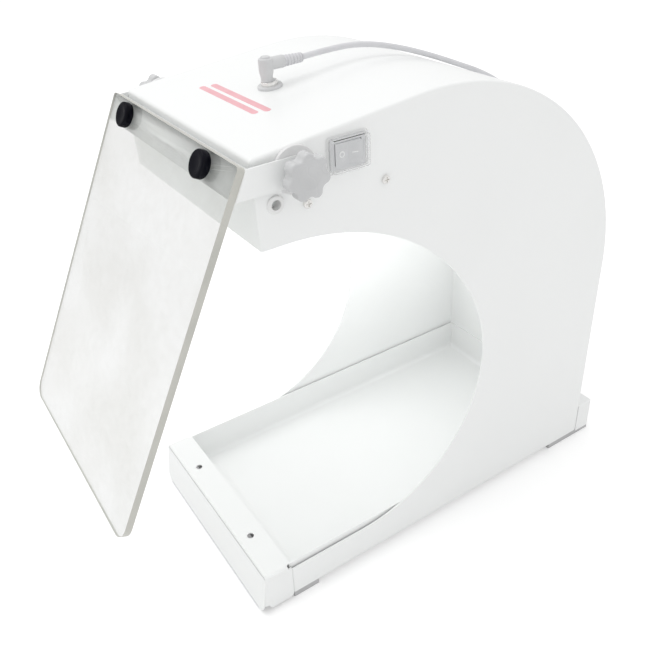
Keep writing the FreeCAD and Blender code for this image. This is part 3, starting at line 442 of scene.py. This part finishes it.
trimRubber = dict(footRubber, base=(0.36, 0.36, 0.41), shade=(0.30, 0.30, 0.35))
nylon = {"base": (0.84, 0.845, 0.84), "shade": (0.80, 0.80, 0.79), "patch": 80.0, "grain": 1400.0,
         "rough": (0.34, 0.46), "bump": 0.15, "bumpDepth": 0.00005,
         "dust": (0.6, 0.6, 0.58), "dustScale": 1500.0, "dustAmount": 0.15}
switchPlastic = {"base": (0.72, 0.73, 0.74), "shade": (0.67, 0.68, 0.69), "patch": 90.0, "grain": 2100.0,
                 "rough": (0.36, 0.48), "bump": 0.30, "bumpDepth": 0.00005,
                 "worn": (0.62, 0.62, 0.62), "wear": 0.35, "edgeRadius": 0.0003, "breakup": 400.0}
markPlastic = dict(switchPlastic, base=(0.97, 0.975, 0.975), shade=(0.94, 0.945, 0.945))
inletPlastic = dict(switchPlastic, base=(0.66, 0.665, 0.67), shade=(0.61, 0.615, 0.62), grain=1700.0)
cordVinyl = {"base": (0.70, 0.70, 0.72), "shade": (0.65, 0.65, 0.67), "patch": 55.0, "grain": 1500.0,
             "rough": (0.40, 0.56), "bump": 0.2, "bumpDepth": 0.00006,
             "dust": (0.66, 0.66, 0.64), "dustScale": 1400.0, "dustAmount": 0.25}
adapterPlastic = dict(switchPlastic, base=(0.58, 0.58, 0.60), shade=(0.53, 0.53, 0.55), patch=30.0,
                      grain=1500.0, bump=0.5)
leadVinyl = {"base": (0.55, 0.03, 0.03), "shade": (0.45, 0.02, 0.02), "patch": 120.0, "grain": 2000.0,
             "rough": (0.25, 0.38), "bump": 0.1, "bumpDepth": 0.00004}
redEnamel = {"base": (0.84, 0.44, 0.48), "shade": (0.80, 0.40, 0.44), "patch": 60.0, "grain": 900.0,
             "rough": (0.3, 0.42), "bump": 0.1, "bumpDepth": 0.00005}
phosphor = {"base": (0.92, 0.80, 0.30), "shade": (0.86, 0.72, 0.24), "patch": 300.0, "grain": 4000.0,
            "rough": (0.4, 0.55), "bump": 0.2, "bumpDepth": 0.00004}
boardMask = {"base": (0.86, 0.87, 0.85), "shade": (0.80, 0.81, 0.79), "patch": 90.0, "grain": 2200.0,
             "rough": (0.28, 0.4), "bump": 0.15, "bumpDepth": 0.00003}
zincPlate = {"base": (0.78, 0.78, 0.77), "shade": (0.66, 0.67, 0.68), "stretch": (30.0, 1.0, 1.0),
             "grain": 120.0, "rough": (0.24, 0.42), "bump": 0.15, "bumpDepth": 0.00003}
nickelPlate = {"base": (0.86, 0.85, 0.83), "shade": (0.78, 0.77, 0.75), "stretch": (1.0, 1.0, 1.0),
               "grain": 900.0, "rough": (0.10, 0.22), "bump": 0.08, "bumpDepth": 0.00002}
brass = {"base": (0.80, 0.64, 0.33), "shade": (0.70, 0.54, 0.26), "stretch": (20.0, 1.0, 1.0), "grain": 200.0,
         "rough": (0.22, 0.38), "bump": 0.12, "bumpDepth": 0.00003}
acrylic = {"base": (0.90, 0.905, 0.90), "shade": (0.805, 0.805, 0.785), "patch": 13.0, "grain": 120.0,
           "rough": (0.0, 0.03), "bump": 0.01, "bumpDepth": 0.00005, "clear": 1.0, "ior": 1.49,
           "shadow": (0.93, 0.94, 0.93)}
bootVinyl = {"base": (0.985, 0.985, 0.985), "shade": (0.965, 0.965, 0.965), "patch": 70.0, "grain": 900.0,
             "rough": (0.02, 0.08), "bump": 0.08, "bumpDepth": 0.00005, "clear": 1.0, "ior": 1.22,
             "shadow": (0.95, 0.95, 0.95)}
opal = {"base": (0.96, 0.96, 0.95), "shade": (0.93, 0.93, 0.92), "patch": 30.0, "grain": 1500.0,
        "rough": (0.45, 0.6), "bump": 0.2, "bumpDepth": 0.00004, "clear": 0.55, "ior": 1.49,
        "shadow": (0.6, 0.6, 0.6)}

materials = {
    "white_paint": solidFinish("whitePowderCoat", paint),
    "clear_acrylic": clearFinish("clearAcrylic", acrylic),
    "black_knob": solidFinish("blackKnobPlastic", blackKnob),
    "star_knob_plastic": solidFinish("starKnobPlastic", starPlastic),
    "foot_rubber": solidFinish("footRubber", footRubber),
    "trim_rubber": solidFinish("trimRubber", trimRubber),
    "zinc_steel": metalFinish("zincPlatedSteel", zincPlate),
    "screw_steel": metalFinish("nickelScrews", nickelPlate),
    "white_nylon": solidFinish("whiteNylon", nylon),
    "switch_plastic": solidFinish("switchPlastic", switchPlastic),
    "boot_clear": clearFinish("clearBootVinyl", bootVinyl),
    "opal_acrylic": clearFinish("opalDiffuser", opal),
    "led_board": solidFinish("boardSolderMask", boardMask),
    "led_phosphor": solidFinish("ledPhosphor", phosphor),
    "inlet_plastic": solidFinish("inletPlastic", inletPlastic),
    "inlet_nickel": metalFinish("inletNickel", dict(nickelPlate, rough=(0.16, 0.3))),
    "brass_contact": metalFinish("brassContact", brass),
    "cord_vinyl": solidFinish("cordVinyl", cordVinyl),
    "adapter_plastic": solidFinish("adapterPlastic", adapterPlastic),
    "lead_vinyl": solidFinish("leadVinyl", leadVinyl),
}
switchMark = solidFinish("switchMark", markPlastic)
frontMark = solidFinish("redEnamel", redEnamel)

paintedLightDiscMaterial = solidFinish("discPaintedLight", discPaintedLight)

for row in frame["record"]["subparts"]:
    part = nodes[row["node"]]
    part.data.materials.clear()
    part.data.materials.append(materials[row["material_slot"]])
# the friction discs take the lighter copy, painted light against the shade round them
for name in ("friction_disc_right", "friction_disc_left"):
    nodes[name].data.materials[0] = paintedLightDiscMaterial
powerCord.data.materials.append(materials["cord_vinyl"])
print("materials assigned")

# softened edges of the metal and acrylic parts
edgeRounding = {
    "hood_side_right": 0.0003, "hood_side_left": 0.0003,
    "rear_bar": 0.0003, "shield_bracket": 0.0003, "lamp_tray": 0.0003,
    "front_foot_right": 0.0006, "front_foot_left": 0.0006,
    "rear_foot_right": 0.0006, "rear_foot_left": 0.0006,
    "front_edge_trim": 0.0003, "switch_housing": 0.0003, "switch_rocker": 0.0004, "adapter_blades": 0.0004,
}


def softenEdges(piece, width):
    bevel = piece.modifiers.new("softEdge", "BEVEL")
    bevel.width = width
    bevel.segments = 2
    bevel.limit_method = "ANGLE"
    bevel.angle_limit = math.radians(50)
    bevel.harden_normals = True
    return bevel


for name, width in edgeRounding.items():
    softenEdges(nodes[name], width)

# mesh helpers
sharpAngle = 38.0         # degrees: edges that turn by more stay sharp


def meshPiece(name, mesh, body, slot):
    piece = bpy.data.objects.new(name, mesh)
    bpy.context.scene.collection.objects.link(piece)
    mesh.shade_smooth()
    mesh.set_sharp_from_angle(angle=math.radians(sharpAngle))
    mesh.materials.append(materials[slot])
    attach(piece, body)
    return piece


# mesh from a finished bmesh, normals outwards
def closeMesh(bm, name):
    bmesh.ops.recalc_face_normals(bm, faces=bm.faces)
    mesh = bpy.data.meshes.new(name)
    bm.to_mesh(mesh)
    bm.free()
    return mesh


# surface of revolution: profile holds (radius, distance along the axis)
def turned(name, profile, axisPoint, axis, steps=48):
    axis = Vector(axis).normalized()
    side = axis.orthogonal().normalized()
    other = axis.cross(side)
    bm = bmesh.new()
    rings = []
    for radius, along in profile:
        centre = Vector(axisPoint) + axis * along
        if radius < 1e-7:
            rings.append([bm.verts.new(centre)])
            continue
        ring = []
        for i in range(steps):
            a = 2 * math.pi * i / steps
            ring.append(bm.verts.new(centre + side * (radius * math.cos(a)) + other * (radius * math.sin(a))))
        rings.append(ring)
    for first, second in zip(rings, rings[1:]):
        for i in range(steps):
            j = (i + 1) % steps
            if len(first) == 1:
                bm.faces.new((first[0], second[j], second[i]))
            elif len(second) == 1:
                bm.faces.new((first[i], first[j], second[0]))
            else:
                bm.faces.new((first[i], first[j], second[j], second[i]))
    return closeMesh(bm, name)


# points of an arc that rounds the corner of a profile
def roundCorner(start, corner, end, radius, steps=5):
    corner, back, ahead = Vector(corner), Vector(start) - Vector(corner), Vector(end) - Vector(corner)
    half = back.angle(ahead) / 2
    back, ahead = back.normalized(), ahead.normalized()
    centre = corner + (back + ahead).normalized() * (radius / math.sin(half))
    first = corner + back * (radius / math.tan(half)) - centre
    last = corner + ahead * (radius / math.tan(half)) - centre
    points = []
    for i in range(steps + 1):
        t = i / steps
        points.append(tuple(centre + (first * (1 - t) + last * t).normalized() * radius))
    return points


# shield pane with its sawn edges
shieldEdge = {"base": (0.60, 0.595, 0.55), "shade": (0.52, 0.52, 0.48), "patch": 30.0, "grain": 900.0,
              "rough": (0.35, 0.5), "bump": 0.3, "bumpDepth": 0.00006}
paneRounding = 0.0003


def shieldNormal():
    joint = next(j for j in frame["joints"] if j["name"] == "shield_knob_right_turn")
    return -Vector(joint["axis"])


# the pane keeps its outline and holes; faces across the sheet's thickness get the edge finish
def makeShieldPane():
    mesh = nodes["shield"].data.copy()
    mesh.materials.clear()
    mesh.materials.append(materials["clear_acrylic"])
    mesh.materials.append(solidFinish("acrylicEdge", shieldEdge))
    normal = shieldNormal()
    for face in mesh.polygons:
        face.material_index = 0 if abs(face.normal.dot(normal)) > 0.5 else 1
    pane = bpy.data.objects.new("shieldPane", mesh)
    bpy.context.scene.collection.objects.link(pane)
    bevel = softenEdges(pane, paneRounding)
    bevel.material = 1
    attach(pane, "shield_frame")
    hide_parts("shield")


makeShieldPane()
print("shield pane made")

# shield thumb knobs
thumbKnob = {"rim": 0.0018, "dish": 0.0011, "dishRadius": 0.0075, "foot": 0.0098, "flare": 0.0012,
             "dishSteps": 6, "steps": 64}


# round knob with a narrower foot, a rolled rim and a dished face
def makeThumbKnob(side, t):
    node = "shield_knob_" + side
    joint = next(j for j in frame["joints"] if j["name"] == node + "_turn")
    normal = shieldNormal()
    corners = [v.co for v in nodes[node].data.vertices]
    heights = [c.dot(normal) for c in corners]
    axisPoint = Vector(joint["pos_m"])
    base = axisPoint + normal * (min(heights) - axisPoint.dot(normal))
    height = max(heights) - min(heights)
    radius = max((c - axisPoint - normal * (c - axisPoint).dot(normal)).length for c in corners)
    profile = [(0.0, 0.0), (t["foot"] - 0.0005, 0.0), (t["foot"], 0.0004), (radius, t["flare"] + 0.0006)]
    profile += roundCorner((radius, t["flare"]), (radius, height), (0.0, height), t["rim"], 7)
    for i in range(1, t["dishSteps"] + 1):
        share = i / t["dishSteps"]
        r = t["dishRadius"] * (1 - share)
        drop = t["dish"] * (1 - (r / t["dishRadius"]) ** 2)
        profile.append((max(r, 0.0), height - drop))
    mesh = turned(node, profile, base, normal, t["steps"])
    knob = meshPiece("thumbKnob_" + side, mesh, node + "_body", "black_knob")
    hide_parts(node)


for side in ("right", "left"):
    makeThumbKnob(side, thumbKnob)
print("thumb knobs made")

# plug and strain reliefs
ribbed = {"ribs": 6, "groove": 0.0011, "lead": 0.0006}


# tapered sleeve with rounded ribs and grooves between them
def ribbedProfile(startRadius, endRadius, length, r):
    profile = [(0.0, 0.0), (startRadius * 0.98, 0.0)]
    pitch = length / r["ribs"]
    for i in range(r["ribs"]):
        taper = startRadius + (endRadius - startRadius) * (i + 0.5) / r["ribs"]
        for share, depth in ((0.04, 0.35), (0.14, 0.0), (0.50, 0.0), (0.60, 0.35), (0.66, 1.0), (0.92, 1.0)):
            profile.append((taper - r["groove"] * depth, (i + share) * pitch))
    profile += [(endRadius - 0.0003, length - r["lead"]), (endRadius - 0.0006, length), (0.0, length)]
    return profile


def makePlugRelief(r):
    low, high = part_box("plug_relief")
    start = ((low.x + high.x) / 2, low.y, (low.z + high.z) / 2)
    startRadius = (high.x - low.x) / 2
    profile = ribbedProfile(startRadius, cord["radius"] + 0.0016, high.y - low.y, r)
    sleeve = meshPiece("plugRelief", turned("plugRelief", profile, start, (0, 1, 0)), "hood", "cord_vinyl")
    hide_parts("plug_relief")
    return sleeve


def makeAdapterRelief(r):
    low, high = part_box("adapter_relief")
    start = (low.x, (low.y + high.y) / 2, (low.z + high.z) / 2)
    profile = ribbedProfile((high.y - low.y) / 2, cord["radius"] + 0.0009, high.x - low.x, r)
    mesh = turned("adapterRelief", profile, start, (1, 0, 0))
    sleeve = meshPiece("adapterRelief", mesh, "hood", "cord_vinyl")
    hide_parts("adapter_relief")
    return sleeve


plugRelief = makePlugRelief(ribbed)
adapterRelief = makeAdapterRelief(dict(ribbed, ribs=7))

plug = {"waist": 0.0050, "shoulder": 0.0061, "straight": 0.0035, "flare": 0.0055, "corner": 0.0016,
        "capRadius": 0.0040, "capHeight": 0.0014, "capCorner": 0.0009, "elbowRadius": 0.0052}


# moulded right-angle plug: a waisted post with a small cap and a sideways nose
def makePlugBody(p):
    low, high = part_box("plug_body")
    reliefLow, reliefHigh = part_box("plug_relief")
    x, y = (low.x + high.x) / 2, low.y + (high.x - low.x) / 2
    tall = high.z - low.z
    profile = [(0.0, 0.0), (p["waist"] - 0.0004, 0.0), (p["waist"], 0.0005), (p["waist"], p["straight"])]
    for share in (0.25, 0.5, 0.75, 1.0):
        grow = share * share * (3 - 2 * share)
        radius = p["waist"] + (p["shoulder"] - p["waist"]) * grow
        profile.append((radius, p["straight"] + p["flare"] * share))
    top = tall - p["capHeight"]
    profile += roundCorner(profile[-1], (p["shoulder"], top), (0.0, top), p["corner"], 6)
    profile += [(p["capRadius"] + 0.0002, top)]
    profile += roundCorner((p["capRadius"], top), (p["capRadius"], tall), (0.0, tall), p["capCorner"], 5)
    profile += [(0.0, tall)]
    mesh = turned("plugPost", profile, (x, y, low.z), (0, 0, 1))
    post = meshPiece("plugPost", mesh, "hood", "inlet_plastic")
    height = (reliefLow.z + reliefHigh.z) / 2
    length = high.y - y
    nose = [(0.0, 0.0), (p["elbowRadius"], 0.0), (p["elbowRadius"], length - 0.0008)]
    nose += [(p["elbowRadius"] - 0.0005, length), (0.0, length)]
    mesh = turned("plugNose", nose, ((reliefLow.x + reliefHigh.x) / 2, y, height), (0, 1, 0))
    elbow = meshPiece("plugNose", mesh, "hood", "inlet_plastic")
    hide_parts("plug_body")
    return [post, elbow]


plugPieces = makePlugBody(plug)

# power adapter
adapter = {"corner": 0.004, "seamHeight": 0.55, "seamDepth": 0.0005, "seamWidth": 0.0008,
           "panelInset": 0.006, "panelDepth": 0.0006, "cornerSteps": 5, "topShare": 0.75}


# counter-clockwise outline of a rounded rectangle, moved inwards by inset
def roundedOutline(low, high, radius, steps, inset=0.0):
    points = []
    corners = ((high.x, high.y, 0), (low.x, high.y, 90), (low.x, low.y, 180), (high.x, low.y, 270))
    for x, y, start in corners:
        cx = x - math.copysign(radius, x - (low.x + high.x) / 2)
        cy = y - math.copysign(radius, y - (low.y + high.y) / 2)
        for i in range(steps + 1):
            a = math.radians(start + 90 * i / steps)
            points.append((cx + (radius - inset) * math.cos(a), cy + (radius - inset) * math.sin(a)))
    return points


# moulded shell in two halves: a groove round its middle and a sunk panel on top
def makeAdapter(a):
    low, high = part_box("power_adapter")
    height = high.z - low.z
    seam = low.z + height * a["seamHeight"]
    half = a["seamWidth"] / 2
    levels = [(low.z, 0.0012), (low.z + 0.0006, 0.0003), (low.z + 0.0014, 0.0)]
    levels += [(seam - half, 0.0), (seam - half, a["seamDepth"])]
    levels += [(seam + half, a["seamDepth"]), (seam + half, 0.0)]
    edge = a["corner"] * a["topShare"]
    for i in range(a["cornerSteps"] + 1):
        t = math.pi / 2 * i / a["cornerSteps"]
        levels.append((high.z - edge * (1 - math.sin(t)), edge * (1 - math.cos(t))))
    levels += [(high.z, edge + a["panelInset"] * 0.3)]
    levels += [(high.z - a["panelDepth"], edge + a["panelInset"] * 0.36)]
    bm = bmesh.new()
    rings = []
    for z, inset in levels:
        outline = roundedOutline(low, high, a["corner"] * 1.6, 6, min(inset, a["corner"] * 1.5))
        rings.append([bm.verts.new((x, y, z)) for x, y in outline])
    for first, second in zip(rings, rings[1:]):
        for i in range(len(first)):
            j = (i + 1) % len(first)
            bm.faces.new((first[i], first[j], second[j], second[i]))
    bm.faces.new(list(reversed(rings[0])))
    bm.faces.new(rings[-1])
    mesh = closeMesh(bm, "adapterShell")
    shell = meshPiece("adapterShell", mesh, "hood", "adapter_plastic")
    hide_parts("power_adapter")
    return shell


adapterShell = makeAdapter(adapter)
print("plug and adapter made")

# tie round the coil
coilTie = {"thickness": 0.0009, "width": 0.004, "angle": 200.0, "inner": 0.0215, "outer": 0.0365,
           "top": 0.0102}


# soft band round the turns, a rounded rectangle bent round the bundle
def makeCoilTie(t):
    angle = math.radians(t["angle"])
    outward = Vector((math.cos(angle), math.sin(angle), 0))
    along = Vector((-math.sin(angle), math.cos(angle), 0))
    centre = Vector((*cord["coilCentre"], 0))
    gap = t["thickness"]
    bm = bmesh.new()
    rings = []
    for grow in (0.0, gap):
        low = Vector((t["inner"] - grow * 0.9, 0.0001))
        high = Vector((t["outer"] + grow * 0.9, t["top"] + grow))
        outline = roundedOutline(low, high, 0.0022 + grow, 5)
        for shift in (-t["width"] / 2, t["width"] / 2):
            middle = centre + along * shift
            rings.append([bm.verts.new(middle + outward * u + Vector((0, 0, v))) for u, v in outline])
    for first, second in ((0, 1), (3, 2), (2, 0), (1, 3)):
        a, b = rings[first], rings[second]
        for i in range(len(a)):
            j = (i + 1) % len(a)
            bm.faces.new((a[i], a[j], b[j], b[i]))
    mesh = closeMesh(bm, "coilTie")
    return meshPiece("coilTie", mesh, "hood", "cord_vinyl")


tie = makeCoilTie(coilTie)

# welded corners where the apron leans away from the pan's sides
cornerWeld = {"inner": 0.11285, "outer": 0.11396,
              "outline": [(-0.16705, 0.0445), (-0.16705, 0.0080), (-0.17205, 0.0100), (-0.16755, 0.0445)]}


def makeCornerWeld(side, c):
    sign = 1 if side == "right" else -1
    bm = bmesh.new()
    rings = [[bm.verts.new((sign * x, y, z)) for y, z in c["outline"]] for x in (c["inner"], c["outer"])]
    for i in range(len(rings[0])):
        j = (i + 1) % len(rings[0])
        bm.faces.new((rings[0][i], rings[0][j], rings[1][j], rings[1][i]))
    bm.faces.new(list(reversed(rings[0])))
    bm.faces.new(rings[1])
    mesh = closeMesh(bm, "cornerWeld")
    meshPiece("cornerWeld_" + side, mesh, "hood", "white_paint")


for side in ("right", "left"):
    makeCornerWeld(side, cornerWeld)
print("corners closed")

# marks on the rocker
rockerMark = {"leastArea": 1e-5, "lift": 0.00015, "sink": 0.0001, "ringRadius": 0.0024, "line": 0.0008,
              "barLength": 0.0046}


# centre, outward normal and along direction of one face of the rocker, the -1 or 1 half
def rockerFace(end):
    mesh = nodes["switch_rocker"].data

    def facing(p):
        wanted = abs(p.normal.z) < 0.1 and end * p.normal.y < 0 and p.normal.x > 0.8
        return p.normal.x if wanted and p.area > rockerMark["leastArea"] else -1

    best = max(mesh.polygons, key=facing)
    normal = best.normal.copy()
    points = [mesh.vertices[i].co for p in mesh.polygons if p.normal.dot(normal) > 0.999 for i in p.vertices]
    centre = sum(points, Vector()) / len(points)
    along = Vector((0, 0, 1)).cross(normal).normalized()
    return centre, normal, along


# thin raised mark on a face; outlines are (along, up) points
def flatMark(name, outline, holes, centre, normal, along):
    up = Vector((0, 0, 1))
    bm = bmesh.new()
    loops = []
    for lift in (-rockerMark["sink"], rockerMark["lift"]):
        for ring in [outline] + holes:
            loops.append([bm.verts.new(centre + along * u + up * v + normal * lift) for u, v in ring])
    count = len(loops) // 2
    for k in range(count):
        a, b = loops[k], loops[k + count]
        for i in range(len(a)):
            j = (i + 1) % len(a)
            bm.faces.new((a[i], a[j], b[j], b[i]))
    if holes:
        for outer, inner in ((loops[0], loops[1]), (loops[2], loops[3])):
            for i in range(len(outer)):
                j = (i + 1) % len(outer)
                bm.faces.new((outer[i], outer[j], inner[j], inner[i]))
    else:
        bm.faces.new(loops[0])
        bm.faces.new(loops[1])
    mesh = closeMesh(bm, name)
    meshPiece(name, mesh, "switch_rocker_body", "switch_plastic")
    mesh.materials.clear()
    mesh.materials.append(switchMark)


def circle(radius, steps=32):
    return [(radius * math.cos(2 * math.pi * i / steps), radius * math.sin(2 * math.pi * i / steps))
            for i in range(steps)]


def makeRockerMarks(m):
    centre, normal, along = rockerFace(-1)
    flatMark("offRing", circle(m["ringRadius"]), [circle(m["ringRadius"] - m["line"])], centre, normal, along)
    centre, normal, along = rockerFace(1)
    half, thin = m["barLength"] / 2, m["line"] / 2
    flatMark("onBar", [(-half, -thin), (half, -thin), (half, thin), (-half, thin)], [], centre, normal, along)


makeRockerMarks(rockerMark)
print("switch marks made")

# plain red marks on the hood's top
topMark = {"centre": (-0.006, -0.0895), "length": 0.098, "width": 0.0058, "gap": 0.0092, "slant": 0.004,
           "lift": 0.00012}


# point and normal of the hood's top skin under a spot
def topSurface(x, y):
    above = Vector((x, y, highCorner.z + 0.1))
    place, normal = nodes["hood_skin"].ray_cast(above, Vector((0, 0, -1)))[1:3]
    return place, normal


# two plain rounded stripes of thin red enamel
def makeTopMark(m):
    for k, shift in enumerate((-m["gap"] / 2, m["gap"] / 2)):
        place, normal = topSurface(m["centre"][0], m["centre"][1] + shift)
        along = Vector((1, 0, 0))
        across = normal.cross(along).normalized()
        low, high = Vector((-m["length"] / 2, -m["width"] / 2)), Vector((m["length"] / 2, m["width"] / 2))
        outline = roundedOutline(low, high, m["width"] * 0.49, 8)
        bm = bmesh.new()
        rings = []
        for inset, lift in ((0.0, 0.0), (0.0, m["lift"] * 0.6), (0.0001, m["lift"])):
            scale = 1 - inset / m["width"]
            slant = m["slant"] * (k - 0.5)
            middle = place + along * slant + normal * lift
            points = [middle + along * (u * scale) + across * (v * scale) for u, v in outline]
            rings.append([bm.verts.new(point) for point in points])
        for first, second in zip(rings, rings[1:]):
            for i in range(len(first)):
                j = (i + 1) % len(first)
                bm.faces.new((first[i], first[j], second[j], second[i]))
        bm.faces.new(list(reversed(rings[0])))
        bm.faces.new(rings[-1])
        mesh = bpy.data.meshes.new("topStripe")
        bm.to_mesh(mesh)
        bm.free()
        meshPiece("topStripe_%d" % (k + 1), mesh, "hood", "white_paint")
        mesh.materials.clear()
        mesh.materials.append(frontMark)


makeTopMark(topMark)
print("top marks made")

# floor and light
studio = {
    "floorSize": 14.0, "floorColor": (0.90, 0.90, 0.90), "floorGlow": 0.05, "cameraGlow": 0.20,
    "floorRough": 0.9, "floorDrop": 0.0002,
    "skyColor": (1.0, 1.0, 1.0), "skyStrength": 0.89, "backdropStrength": 1.1,
    "keyPower": 12.8, "keySize": 1.8, "keyPlace": (-0.75, -0.55, 2.3),
    "hoodPower": 0.56, "hoodSize": 0.12, "hoodPlace": (0.02, 0.105, 0.25),    # soft lift inside the hood
}


def makeStage(s):
    bm = bmesh.new()
    bmesh.ops.create_grid(bm, x_segments=2, y_segments=2, size=s["floorSize"] / 2)
    mesh = bpy.data.meshes.new("benchTop")
    bm.to_mesh(mesh)
    bm.free()
    floor = bpy.data.objects.new("benchTop", mesh)
    bpy.context.scene.collection.objects.link(floor)
    material, tree, shader = startMaterial("paleBench")
    shader.inputs["Base Color"].default_value = (*s["floorColor"], 1)
    shader.inputs["Roughness"].default_value = s["floorRough"]
    shader.inputs["Emission Color"].default_value = (1, 1, 1, 1)
    ray = tree.nodes.new("ShaderNodeLightPath")      # the bench looks a little brighter to the camera itself
    glow = addMath(tree, "MULTIPLY", ray.outputs["Is Camera Ray"], s["cameraGlow"])
    tree.links.new(addMath(tree, "ADD", glow, s["floorGlow"]), shader.inputs["Emission Strength"])
    mesh.materials.append(material)
    floor.location.z = -s["floorDrop"]
    world = bpy.data.worlds.new("studioSky")
    world.use_nodes = True
    sky = world.node_tree.nodes["Background"]
    sky.inputs["Color"].default_value = (*s["skyColor"], 1)
    sky.inputs["Strength"].default_value = s["skyStrength"]
    tree = world.node_tree
    ray = tree.nodes.new("ShaderNodeLightPath")
    backdrop = tree.nodes.new("ShaderNodeBackground")
    mix = tree.nodes.new("ShaderNodeMixShader")
    tree.links.new(ray.outputs["Is Camera Ray"], mix.inputs[0])
    tree.links.new(sky.outputs[0], mix.inputs[1])
    tree.links.new(backdrop.outputs[0], mix.inputs[2])
    tree.links.new(mix.outputs[0], tree.nodes["World Output"].inputs["Surface"])
    backdrop.inputs["Color"].default_value = (*s["skyColor"], 1)
    backdrop.inputs["Strength"].default_value = s["backdropStrength"]
    bpy.context.scene.world = world


def addKeyPanel(s, aim):
    data = bpy.data.lights.new("keyPanel", "AREA")
    data.energy = s["keyPower"]
    data.shape = "DISK"
    data.size = s["keySize"]
    lamp = bpy.data.objects.new("keyPanel", data)
    lamp.location = s["keyPlace"]
    lamp.rotation_mode = "QUATERNION"
    lamp.rotation_quaternion = (Vector(aim) - Vector(s["keyPlace"])).to_track_quat("-Z", "Y")
    bpy.context.scene.collection.objects.link(lamp)


def addHoodLight(s):
    data = bpy.data.lights.new("hoodLight", "POINT")
    data.energy = s["hoodPower"]
    data.shadow_soft_size = s["hoodSize"]
    lamp = bpy.data.objects.new("hoodLight", data)
    lamp.location = s["hoodPlace"]
    lamp.visible_camera = False
    lamp.visible_glossy = False
    lamp.visible_transmission = False
    bpy.context.scene.collection.objects.link(lamp)


makeStage(studio)
addKeyPanel(studio, (lowCorner + highCorner) / 2)
addHoodLight(studio)
bpy.context.scene.view_settings.view_transform = "Standard"
print("stage and light ready")
